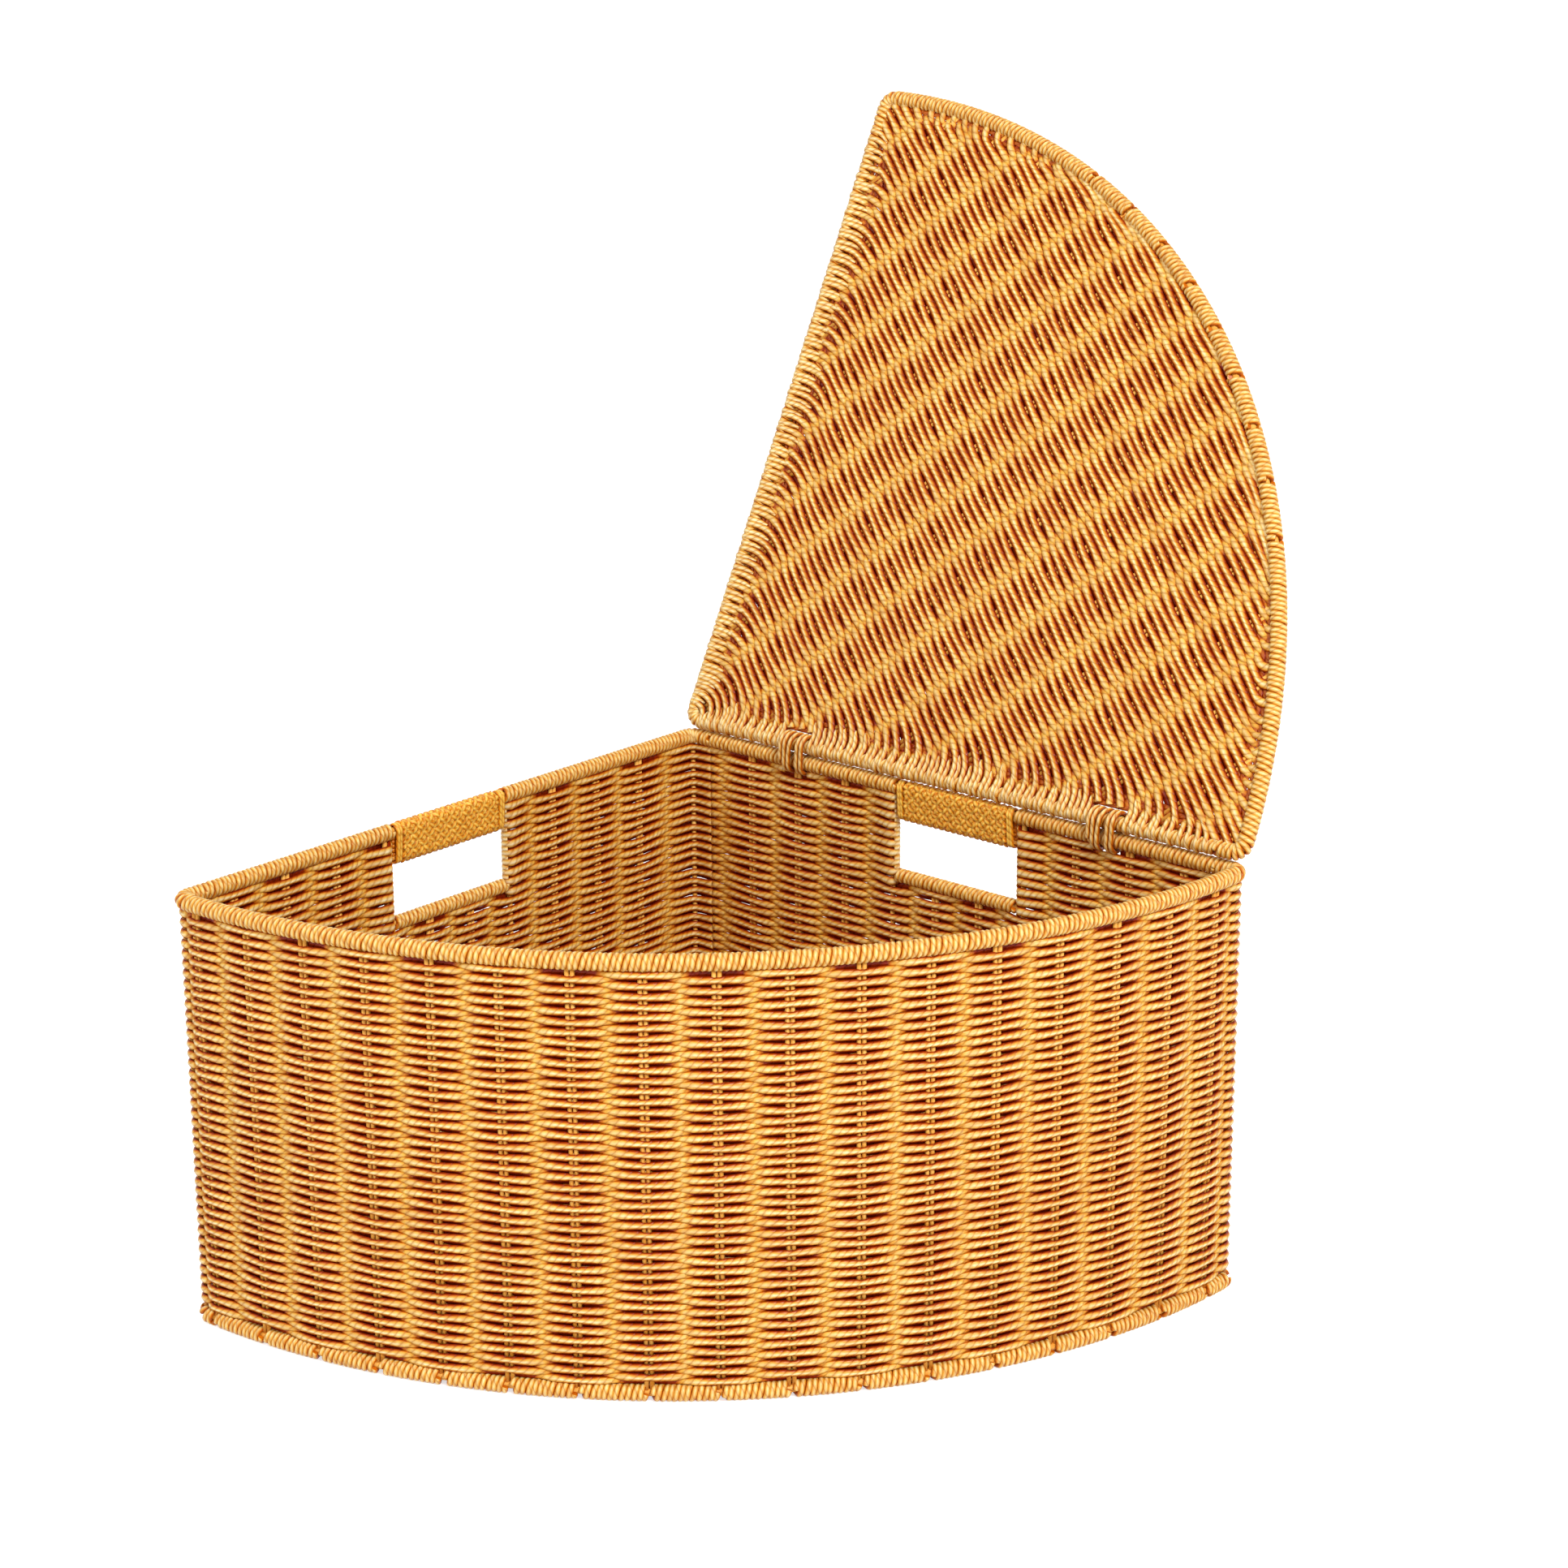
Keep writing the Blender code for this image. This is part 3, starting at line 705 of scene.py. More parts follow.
# topGaps are left free by the last row
def wallRows(start, end, drawnIn, topGaps):
    runs = []
    for row in range(wallWeft["rows"] + 1):
        if rowHeight(row) < sillBar - weaveHalf - rowPitch / 2:
            runs.append(wallRow(row, start, end, allPlaces, drawnIn))
            continue
        for low, high, turnStart, turnEnd in rowStretches(start, end):
            gaps = [gap for gap in topGaps if row == wallWeft["rows"] and low < gap[0] and gap[1] < high]
            ends = [low] + [value for gap in gaps for value in gap] + [high]
            for number, (near, far) in enumerate(zip(ends[::2], ends[1::2])):
                first = turnStart and number == 0
                last = turnEnd and number == len(gaps)
                runs.append(wallRow(row, near, far, tallPlaces, drawnIn, first, last))
    return runs


leftFrontSeam = wallPlace(-1, frontSeam)
rightFrontSeam = wallPlace(1, frontSeam)
rightRearSeam = wallPlace(1, rearSeam)
leftRearSeam = rightRearSeam - ringLength  # the same seam, one turn earlier
lashing = {
    "radius": 0.00125,
    "gap": 0.0005,
    "fill": 0.45,  # share of the gap that a flattened strand takes on each side
    "turns": 4,
    "rearStake": 2,  # stakes from the hand hole's rear upright
    "frontInset": 0.087,  # front corner to the front lashing
    "loopPoints": 40,
    "rowGap": 0.0082,  # half the gap that the wall's last row leaves for a lashing
    "packingGap": 0.0115,  # half the gap that the cords beside the lid's rim leave
    "rowClear": 0.0112,  # lid rows nearer than this end short of the rim
}
rearLashing = rearUpright - lashing["rearStake"] * stakeLayout["wallSpacing"]
lashingPlaces = (rearLashing, basket["side"] - lashing["frontInset"])
lashingGaps = sorted(
    sorted(wallPlace(1, place + shift) for shift in (-lashing["rowGap"], lashing["rowGap"]))
    for place in lashingPlaces
)
straightDraw = wallWeft["drawnInStraight"]
walls = {
    "leftWallWeft": ("left_wall_weave", leftRearSeam, leftFrontSeam, straightDraw, ()),
    "frontWallWeft": ("front_wall_weave", leftFrontSeam, rightFrontSeam, wallWeft["drawnIn"], ()),
    "rightWallWeft": ("right_wall_weave", rightFrontSeam, rightRearSeam, straightDraw, lashingGaps),
}
for title, (node, start, end, drawnIn, gaps) in walls.items():
    addCords(title, wallRows(start, end, drawnIn, gaps), [node], "basket", weftPaper)

rimWinding = {
    "pitch": 0.00297,
    "strands": 2,  # cords wound side by side
    "wide": 0.00172,
    "stepsPerTurn": 20,
    "gapAtStake": 0.0034,
    "gapAtRib": 0.0024,
    "loose": 0.00006,
    "looseWaves": 911.0,  # radians per metre along the rim
    "uneven": ((0.55, 325.0), (0.32, 880.0)),  # radians, and radians per metre along the rim
}
windingRadius = rimRadius - basket["cordRadius"]


# floor is the height below which a winding is flattened
def winding(start, end, height, radius=windingRadius, floor=None):
    lead = rimWinding["pitch"] * rimWinding["strands"]
    count = max(8, round((end - start) / lead * rimWinding["stepsPerTurn"]))
    places = np.linspace(start, end, count + 1)
    wound = 2 * math.pi * (places - start) / lead
    for size, pace in rimWinding["uneven"]:
        wound += size / rimWinding["strands"] * np.sin(places * pace + dice.uniform(*anyPhase))
    loose = 1.0 + rimWinding["loose"] / radius * np.sin(places * rimWinding["looseWaves"])
    runs = []
    for strand in range(rimWinding["strands"]):
        angle = wound + 2 * math.pi * strand / rimWinding["strands"]
        path = ringAt(places, radius * loose * np.cos(angle), 0.0)
        path[:, 2] = height + radius * loose * np.sin(angle)
        face = ringNormalAt(places) * np.cos(angle)[:, None] + up * np.sin(angle)[:, None]
        if floor is not None:
            path[:, 2] = np.maximum(path[:, 2], floor + basket["cordRadius"])
        runs.append(cordRun(path, face, basket["cordRadius"], rimWinding["wide"]))
    return runs


def groupedWinding(start, end, height, stops, gap, **more):
    runs = []
    here = start
    for stop in [s for s in sorted(stops) if start < s < end]:
        runs += winding(here, stop - gap / 2, height, **more)
        here = stop + gap / 2
    return runs + winding(here, end, height, **more)


leftHole = (wallPlace(-1, holeStart), wallPlace(-1, holeEnd))
rightHole = (wallPlace(1, holeEnd), wallPlace(1, holeStart))
topRims = {
    "leftRearRimWinding": ("left_rear_rim_binding", leftRearSeam, leftHole[0] - clearance),
    "leftFrontRimWinding": ("left_front_rim_binding", leftHole[1] + clearance, leftFrontSeam),
    "frontRimWinding": ("front_rim_binding", leftFrontSeam, rightFrontSeam),
    "rightFrontRimWinding": ("right_front_rim_binding", rightFrontSeam, rightHole[0] - clearance),
    "rightRearRimWinding": ("right_rear_rim_binding", rightHole[1] + clearance, rightRearSeam),
}
for title, (node, start, end) in topRims.items():
    addCords(title, winding(start, end, basket["wallHeight"]), [node], "basket", rimPaper)

baseRims = {
    "leftBaseWinding": ("left_base_binding", leftRearSeam, leftFrontSeam),
    "frontBaseWinding": ("front_base_binding", leftFrontSeam, rightFrontSeam),
    "rightBaseWinding": ("right_base_binding", rightFrontSeam, rightRearSeam),
}
wrappedStakes = list(allPlaces) + [place - ringLength for place in allPlaces]
floorLevel = -basket["ringLift"]
for title, (node, start, end) in baseRims.items():
    runs = groupedWinding(start, end, 0.0, wrappedStakes, rimWinding["gapAtStake"], floor=floorLevel)
    addCords(title, runs, [node], "basket", rimPaper)

# Rows of the base run from side to side, over ribs that run from back to front
baseWeft = {
    "pitch": 0.0028,
    "step": 0.0030,
    "reach": 0.0019,
    "tuck": 0.0015,  # how far the rows end inside the rim's winding
    "shortest": 0.006,  # least half length of a row
    "waver": (0.0003, 61.0, 1.7),  # size, radians per metre, and radians from row to row
}
rimInset = rimRadius - baseWeft["tuck"]
innerRing = ringAt(ringPlaces, -rimInset, 0.0)
innerLeft = innerRing[innerRing[:, 0] < 0.0]
innerLeft = innerLeft[np.argsort(innerLeft[:, 1])]


def innerHalf(y):
    return -float(np.interp(y, innerLeft[:, 1], innerLeft[:, 0]))


def ribSwing(x, row):
    return swing(x / stakeLayout["ribSpacing"], row)


def baseRows():
    size, pace, lean = baseWeft["waver"]
    runs = []
    for row in range(int(basket["side"] / baseWeft["pitch"])):
        y = -(row + 0.5) * baseWeft["pitch"] - rimInset * math.sqrt(2)
        if y < rimInset - basket["side"]:
            break
        half = innerHalf(y)
        if half < baseWeft["shortest"]:
            continue
        x = np.linspace(-half, half, stepCount(2 * half, baseWeft["step"], fewest=4) + 1)
        wave = ribSwing(x, row)
        path = np.stack((x, np.full(x.shape, y), baseWeft["reach"] * wave), axis=1)
        path[:, 1] += size * np.sin(x * pace + row * lean)
        thick, tall = floatSize(wave)
        runs.append(cordRun(path, up, thick, tall, turnedOut(wave), wallWeft["crest"] * floatShare(wave)))
    return runs


addCords("baseWeft", baseRows(), ["base_weave"], "basket", weftPaper)

# The lid is laid out flat, as when it is closed, and then turned about its hinge
lidWeft = {
    "opening": 117.4,  # degrees from closed
    "pitch": 0.00267,
    "step": 0.0030,
    "reach": 0.0016,
    "widen": 1.12,
    "crest": 0.87,
    "cross": 0.00190,
    "firstRow": 0.9,  # back corner to the first row, in rows
    "lastGap": 0.0008,  # least room between the last row and the arc's rim
    "arcFrom": 0.004,  # how far before the front corners rows begin to end at the arc
    "bow": (0.0003, 71.0, 2.3),  # size, radians per metre, and radians from row to row
    "waver": (0.00034, 137.0),
}
# Rows that end at a straight edge. Depths are measured square to it, from the rim wire.
lidEdge = {
    "bend": 0.030,  # depth over which a row turns square to the edge
    "leastBend": 0.0005,
    "cornerStretch": 0.045,  # rows that end nearer to the back corner bend over less depth
    "lift": 0.0009,  # height of an end that isn't wrapped
    "rimEntry": 0.013,  # depth by which a row has left the rim for its place in the weave
    "firstWrap": 0.012,  # back corner to the first wrapped row
    "fineDepth": 0.012,
    "finePoints": 8,
    "bendTrials": 200,
    "wrapDepth": 0.005,  # depth to which a strand keeps its width round the rim
    "wrapBlend": 0.012,
    "stopShort": 0.0006,  # a row behind a lashing ends this far over the second cord beside the rim
}
rimTurn = {
    "thick": 0.00130,
    "wide": 0.00205,  # half width of a strand round the straight rims
    "crest": 0.15,
    "shift": 0.22,  # share of the spacing that a strand moves along the rim
    "depth": (0.010, 0.016),  # how far its end runs back into the lid
    "mostDepth": 0.6,  # share of the row's own depth
    "tailStep": 0.0015,
    "tailHeight": 0.0011,
    "tailSettle": 0.008,  # depth by which the tail is down to that height
    "tip": 0.003,  # last stretch, which dives into the weave
    "tipHeight": 0.25,
    "taper": 0.006,
    "taperWidth": 0.62,
    "points": 8,
}
# Rows that end at the arc
lidArc = {
    "turnAngle": 22.5,  # degrees from the middle of the arc, where rows stop running along it
    "turnBlend": 8.0,  # degrees beside it
    "leastShare": 0.25,
    "squareUntil": 43.0,  # degrees, from where the rows are straight
    "squareBlend": 3.0,
    "squareLead": 0.022,  # stretch over which a row turns square to the rim
    "squareShift": 0.008,
    "squareSettle": 0.013,
    "alongLead": 0.050,  # stretch over which a row turns to run along the rim
    "alongShift": 0.015,
    "alongMost": 0.45,  # share of the way to the arc's middle
    "alongSlant": 12.0,
    "alongSettle": 0.020,
    "pull": 0.42,  # share of the way that the curve keeps each end's direction
    "step": 0.0022,
    "cornerGap": 0.0005,
}
# Cords laid beside the rim, deep between the two faces of the weave
packing = {
    "depths": (0.0058, 0.0091, 0.0120, 0.0148),
    "thick": 0.00062,
    "wide": 0.00152,
    # painted shade, as these cords lie deep between the two faces
    "shade": 0.74,
    "rearStart": 0.004,
    "frontShare": 1.3,  # distance that a cord stays from the front corner, in its own depths
    "lashingDepth": 0.0070,  # cords less deep than this stop beside a lashing
    "waver": 0.0002,
    "edgeWaves": 170.0,  # radians per metre
    "edgePoints": 40,
    "arcWaves": 60.0,
    "arcPoints": 60,
    "arcStart": 16.0,  # degrees from the middle of the arc
}
lidRise = basket["wallHeight"] + 2 * rimRadius + clearance
hingeAxis = Vector((-1.0, 1.0, 0.0)).normalized()
hingePlace = Vector(bodyPlace) + Vector((0.0, 0.0, lidRise))
lidPlace = Matrix.Translation(hingePlace) @ Matrix.Rotation(math.radians(lidWeft["opening"]), 4, hingeAxis)


# How far a row has moved along the edge at a depth. It starts square to the edge and slants at
# 45 degrees past its bend.
def easedBend(depth, bend):
    share = np.clip(depth / bend, 0.0, 1.0)
    area = bend * (share**3 - share**4 / 2)
    return -(area + np.maximum(depth - bend, 0.0))


def edgePoints(side, along, depth, z):
    return np.stack((side * (along - depth) / math.sqrt(2), -(along + depth) / math.sqrt(2), z), axis=1)


# The end of a row: round the rim from the lid's other face, where its tail lies
def rimWrap(side, faceUp, middle, bend, reach):
    shift = lidWeft["pitch"] * math.sqrt(2) * rimTurn["shift"]
    back = np.linspace(reach, 0.0, stepCount(reach, rimTurn["tailStep"], fewest=6))
    along = middle + easedBend(back, bend)
    z = between(windingRadius, rimTurn["tailHeight"], smooth(back / rimTurn["tailSettle"]))
    z = z * smooth((reach - back) / rimTurn["tip"] + rimTurn["tipHeight"])
    tail = edgePoints(side, along - shift, back, -faceUp * z)
    turn = np.linspace(-math.pi / 2, math.pi / 2, rimTurn["points"] + 2)[1:-1]
    outward = np.cos(turn)
    rise = faceUp * np.sin(turn)
    slant = shift * (0.5 - turn / math.pi)
    loop = edgePoints(side, along[-1] - slant, -windingRadius * outward, windingRadius * rise)
    loopFace = edgePoints(side, np.zeros(len(turn)), -outward, rise)
    tailFace = np.broadcast_to(-faceUp * up, tail.shape)
    taper = between(rimTurn["taperWidth"], 1.0, smooth((reach - back) / rimTurn["taper"]))
    wide = rimTurn["wide"] * np.concatenate((taper, np.ones(len(turn))))
    return {
        "path": np.concatenate((tail, loop)),
        "face": np.concatenate((tailFace, loopFace)),
        "lift": np.ones(len(wide)),
        "near": np.ones(len(wide)),
        "wide": wide,
    }


# near is 1 where a strand has its width round the rim, and 0 where it has its width in the weave
def halfRun(path, faceUp, near):
    return {
        "path": path,
        "face": np.broadcast_to(faceUp * up, path.shape),
        "lift": faceUp * np.clip(path[:, 2] / lidWeft["reach"], -1.0, 1.0),
        "near": near,
        "wide": np.full(len(path), rimTurn["wide"]),
    }


def joined(parts):
    return {key: np.concatenate([part[key] for part in parts]) for key in parts[0]}


# From a straight edge to the lid's middle. hit is where the row would meet the edge without its bend.
def edgeHalfRow(row, side, hit):
    frontShare = max(0.0, (frontReach - hit) / lidEdge["bend"])
    bend = lidEdge["bend"] * min(1.0, frontShare, hit / lidEdge["cornerStretch"])
    bend = max(bend, lidEdge["leastBend"])
    edge = hit - bend / 2
    deepest = hit / 2
    if deepest < bend:
        trial = np.linspace(0.0, bend, lidEdge["bendTrials"])
        deepest = trial[int(np.argmin(np.abs(edge + easedBend(trial, bend) - trial)))]
    behind = side > 0 and min(abs(edge - place) for place in lashingPlaces) < lashing["rowClear"]
    wrapped = lidEdge["firstWrap"] < hit < frontSeam and not behind
    shore = min(deepest, lidEdge["fineDepth"])
    first = packing["depths"][1] - lidEdge["stopShort"] if behind else 0.0
    fine = np.linspace(first, shore, lidEdge["finePoints"] + 1)[:-1]
    count = stepCount((deepest - shore) * math.sqrt(2), lidWeft["step"], fewest=6)
    depth = np.concatenate((fine, np.linspace(shore, deepest, count)))
    along = edge + easedBend(depth, bend)
    faceUp = 1 if row % 2 == 0 else -1
    z = lidWeft["reach"] * ribSwing(side * (along - depth) / math.sqrt(2), row)
    aim = faceUp * (windingRadius if wrapped else lidEdge["lift"])
    z = between(aim, z, smooth((depth - first) / (lidEdge["rimEntry"] - first)))
    if not wrapped:
        return halfRun(edgePoints(side, along, depth, z), faceUp, np.zeros(len(depth)))
    near = smooth(1.0 - (depth - lidEdge["wrapDepth"]) / lidEdge["wrapBlend"])
    inner = halfRun(edgePoints(side, along, depth, z), faceUp, near)
    reach = min(dice.uniform(*rimTurn["depth"]), deepest * rimTurn["mostDepth"])
    return joined([rimWrap(side, faceUp, edge, bend, reach), inner])


# A row's last stretch before the arc's rim, square to the rim or along it, and how far from its end
# the row has settled into the weave
def arcEnd(hit, half, flatY):
    inner = basket["side"] - rimInset
    turn = math.radians(lidArc["turnAngle"])
    share = between(lidArc["leastShare"], 1.0, smooth(abs(hit - turn) / math.radians(lidArc["turnBlend"])))
    if hit > turn:
        left = math.radians(lidArc["squareUntil"]) - hit
        share *= smooth(left / math.radians(lidArc["squareBlend"]))
        lead = min(lidArc["squareLead"], half / 2)
        last = hit - lidArc["squareShift"] * share / inner
        slant = math.pi / 2 * share + hit * (1.0 - share)
        settle = lidArc["squareSettle"]
    else:
        lead = min(lidArc["alongLead"], half / 2)
        last = hit + min(lidArc["alongShift"] * share, hit * inner * lidArc["alongMost"]) / inner
        slant = math.radians(lidArc["alongSlant"])
        settle = lidArc["alongSettle"]
    end = inner * np.array((math.sin(last), -math.cos(last)))
    outward = np.array((math.cos(last - slant), math.sin(last - slant)))
    start = np.array((half - lead, flatY))
    reach = np.linalg.norm(end - start) * lidArc["pull"]
    t = np.linspace(0.0, 1.0, stepCount(lead, lidArc["step"], fewest=8))[:, None]
    knots = (start, start + (reach, 0.0), end - outward * reach, end)
    curve = knots[0] * (1 - t) ** 3 + knots[1] * 3 * t * (1 - t) ** 2
    return curve + knots[2] * 3 * t**2 * (1 - t) + knots[3] * t**3, settle


# From the arc to the lid's middle
def arcHalfRow(row, side, flatY):
    inner = basket["side"] - rimInset
    hit = math.acos(min(1.0, -flatY / inner))
    half = inner * math.sin(hit)
    edge = innerHalf(flatY)
    faceUp = 1 if row % 2 == 0 else -1
    if edge < half - lidArc["cornerGap"]:  # the corner's bend stops the row before the arc
        x = side * np.linspace(edge, 0.0, stepCount(edge, lidWeft["step"], fewest=3) + 1)
        path = np.stack((x, np.full(x.shape, flatY), lidWeft["reach"] * ribSwing(x, row)), axis=1)
        return halfRun(path, faceUp, np.zeros(len(x)))
    curve, settle = arcEnd(hit, half, flatY)
    inside = np.linspace(0.0, curve[0, 0], stepCount(curve[0, 0], lidWeft["step"], fewest=2) + 1)[:-1]
    flat = np.concatenate((np.stack((inside, np.full(inside.shape, flatY)), axis=1), curve))
    z = lidWeft["reach"] * ribSwing(flat[:, 0], row)
    aim = faceUp * lidEdge["lift"]
    z = between(aim, z, smooth(np.linalg.norm(flat - curve[-1], axis=1) / settle))
    path = np.stack((side * flat[:, 0], flat[:, 1], z), axis=1)[::-1]
    return halfRun(path, faceUp, np.zeros(len(path)))


lidShifts = dice.uniform(*anyPhase, int(basket["side"] / lidWeft["pitch"]) + 1)


def lidRows():
    bow, bowPace, bowLean = lidWeft["bow"]
    size, pace = lidWeft["waver"]
    runs = []
    for row in range(int(basket["side"] / lidWeft["pitch"])):
        flatY = -(row + lidWeft["firstRow"]) * lidWeft["pitch"]
        if flatY < rimInset - basket["side"] + lidWeft["lastGap"]:
            break
        hit = -flatY * math.sqrt(2)
        if hit < frontReach - lidWeft["arcFrom"]:
            left, right = (edgeHalfRow(row, side, hit) for side in (-1, 1))
        else:
            left, right = (arcHalfRow(row, side, flatY) for side in (-1, 1))
        whole = {key: np.concatenate((left[key][:-1], right[key][::-1])) for key in left}
        path = whole["path"]
        path[:, 1] += bow * np.sin(path[:, 0] * bowPace + row * bowLean)
        path[:, 1] += size * np.sin(path[:, 0] * pace + lidShifts[row])
        thick, tall = floatSize(whole["lift"], lidWeft["widen"], lidWeft["cross"])
        wide = between(tall, whole["wide"], whole["near"])
        crest = between(lidWeft["crest"] * floatShare(whole["lift"]), rimTurn["crest"], whole["near"])
        thick = between(thick, rimTurn["thick"], whole["near"])
        runs.append(cordRun(path, whole["face"], thick, wide, turnedOut(whole["lift"]), crest))
    return runs


def packingRun(path):
    return cordRun(path, up, packing["thick"], packing["wide"], 0.0, shade=packing["shade"])


def packingRuns():
    runs = []
    count = packing["edgePoints"]
    gap = lashing["packingGap"]
    for depth in packing["depths"]:
        for side in (-1, 1):
            cuts = [depth + packing["rearStart"], basket["side"] - depth * packing["frontShare"]]
            if side > 0 and depth < packing["lashingDepth"]:
                cuts[1:1] = sorted(place + shift for place in lashingPlaces for shift in (-gap, gap))
            for start, end in zip(cuts[::2], cuts[1::2]):
                along = np.linspace(start, end, count)
                z = packing["waver"] * np.sin(along * packing["edgeWaves"])
                runs.append(packingRun(edgePoints(side, along, np.full(count, depth), z)))
        radius = basket["side"] - depth
        widest = math.radians(45.0) - packing["frontShare"] * depth / radius
        for side in (-1, 1):
            angles = np.linspace(math.radians(packing["arcStart"]), widest, packing["arcPoints"])
            flat = radius * np.stack((side * np.sin(angles), -np.cos(angles)), axis=1)
            z = packing["waver"] * np.sin(angles * packing["arcWaves"])
            runs.append(packingRun(np.column_stack((flat, z))))
    return runs


lidRims = {
    "underRadius": 0.0030,  # winding that the straight edges' rows turn over
    "cornerReach": 0.009,  # how far the back corner's own winding runs on along the edges
    "arcMargin": 1.0,  # degrees past lidArc's turnAngle where the arc's winding has its last gap
}
addCords("lidWeft", lidRows(), ["lid_weave"], "lid", weftPaper, place=lidPlace)
addCords("lidPacking", packingRuns(), ["lid_weave"], "lid", weftPaper, place=lidPlace)
runs = winding(rightFrontSeam - ringLength, leftFrontSeam, 0.0, radius=lidRims["underRadius"])
addCords("lidUnderWinding", runs, ["lid_weave"], "lid", rimPaper, place=lidPlace)
cornerReach = basket["cornerRadius"] * math.pi / 4 + lidRims["cornerReach"]
runs = winding(-cornerReach, cornerReach, 0.0)
addCords("lidCornerWinding", runs, ["lid_weave"], "lid", rimPaper, place=lidPlace)

ribCount = int((frontReach / math.sqrt(2) - basket["stakeWire"]) / stakeLayout["ribSpacing"])
ribPlaces = []
for number in range(-ribCount, ribCount + 1):
    across = number * stakeLayout["ribSpacing"]
    if abs(across) < basket["side"] * math.sin(math.radians(lidArc["turnAngle"] + lidRims["arcMargin"])):
        ribPlaces.append(placeOf((across, -math.sqrt(basket["side"] ** 2 - across**2))))
runs = groupedWinding(leftFrontSeam, rightFrontSeam, 0.0, ribPlaces, rimWinding["gapAtRib"])
addCords("lidArcWinding", runs, ["lid_arc_binding"], "lid", rimPaper, place=lidPlace)

# A pair of wires for each stake and rib, single ones for rings, posts and bars
wires = {
    "pairHalf": 0.0014,
    "pairWire": 0.0012,
    "post": 0.0015,
    "ringPoints": 360,
    "ribStart": 0.0005,
    "samePlace": 0.0005,
}
wirePair = (-wires["pairHalf"], wires["pairHalf"])


def ringWire(height):
    places = np.linspace(0.0, ringLength, wires["ringPoints"])
    return cordRun(ringAt(places, 0.0, height), ringNormalAt(places), basket["ringWire"])


def uprightWire(place, radius, low, high):
    places = np.array((place, place))
    return cordRun(ringAt(places, 0.0, (low, high)), ringNormalAt(places), radius)


def ribWires():
    runs = []
    for number in range(-ribCount, ribCount + 1):
        for shift in wirePair:
            x = number * stakeLayout["ribSpacing"] + shift
            rear = (x, -abs(x) - wires["ribStart"], 0.0)
            front = (x, -math.sqrt(basket["side"] ** 2 - x**2), 0.0)
            runs.append(cordRun(np.array((rear, front)), up, wires["pairWire"]))
    return runs


def bodyWires():
    top = basket["wallHeight"]
    runs = [ringWire(0.0), ringWire(top)] + ribWires()
    posts = [0.0] + [placeOf(cornerPost(side)) for side in (-1, 1)]
    posts += [wallPlace(side, along) for side in (-1, 1) for along in (rearUpright, frontUpright)]
    for place in posts:
        runs.append(uprightWire(place, wires["post"], 0.0, top))
    for places, high in ((tallPlaces, top), (shortPlaces, sillBar)):
        for place in places:
            if min(abs(place - post) for post in posts) < wires["samePlace"]:
                continue
            for shift in wirePair:
                runs.append(uprightWire(place + shift, wires["pairWire"], 0.0, high))
    for side in (-1, 1):
        ends = np.array([sidePoint(side, along) for along in (rearUpright, frontUpright)])
        normal = wallWays(side)[1]
        for height in (bandBar, sillBar):
            path = np.column_stack((ends, (height, height)))
            runs.append(cordRun(path, normal, wires["post"]))
    return runs


addCords("bodyWires", bodyWires(), ["body_wire_frame"], "basket", wirePaint)
runs = [ringWire(0.0)] + ribWires()
addCords("lidWires", runs, ["lid_wire_frame"], "lid", wirePaint, place=lidPlace)

handleBand = {
    "strands": 12,  # in each of the two directions
    "radius": 0.00085,
    "half": 0.00165,  # half width of a flat strand
    "over": 0.00050,  # how far a strand moves in or out where it crosses another
    "step": 0.0011,
    "slit": 0.0012,
    "endWidth": 0.0052,
    "endTurns": 2.0,
    "core": 0.0014,  # radius of the cords laid along inside
    "coreSpacing": 1.7,  # in radii
    # painted shade of the cords laid along inside
    "coreShade": 0.8,
    "corePoints": 30,
    "nudge": 0.001,  # share of a loop that shows which way a strand is going
}


# Once round the top ring and the bar below it: distance from the wall's middle, height, loop's length
def stadium(travel):
    height = basket["wallHeight"] - bandBar
    topRadius = rimRadius - handleBand["radius"] - handleBand["over"]
    lowRadius = weaveHalf - handleBand["radius"] - handleBand["over"]
    topArc = math.pi * topRadius
    lowArc = math.pi * lowRadius
    loop = topArc + lowArc + 2 * height
    t = np.mod(travel, 1.0) * loop
    down = (t - topArc) / height
    lowAngle = (t - topArc - height) / lowRadius
    climb = (t - topArc - height - lowArc) / height
    stages = (  # on top, down, below
        (topRadius * np.cos(t / topRadius), basket["wallHeight"] + topRadius * np.sin(t / topRadius)),
        (-between(topRadius, lowRadius, down), basket["wallHeight"] - height * down),
        (-lowRadius * np.cos(lowAngle), bandBar - lowRadius * np.sin(lowAngle)),
    )
    onStage = [t < topArc, t < topArc + height, t < topArc + height + lowArc]
    last = (between(lowRadius, topRadius, climb), bandBar + height * climb)  # and up again
    out, rise = (np.select(onStage, values, final) for values, final in zip(zip(*stages), last))
    return out, rise, loop


bandLoop = stadium(np.zeros(1))[2]


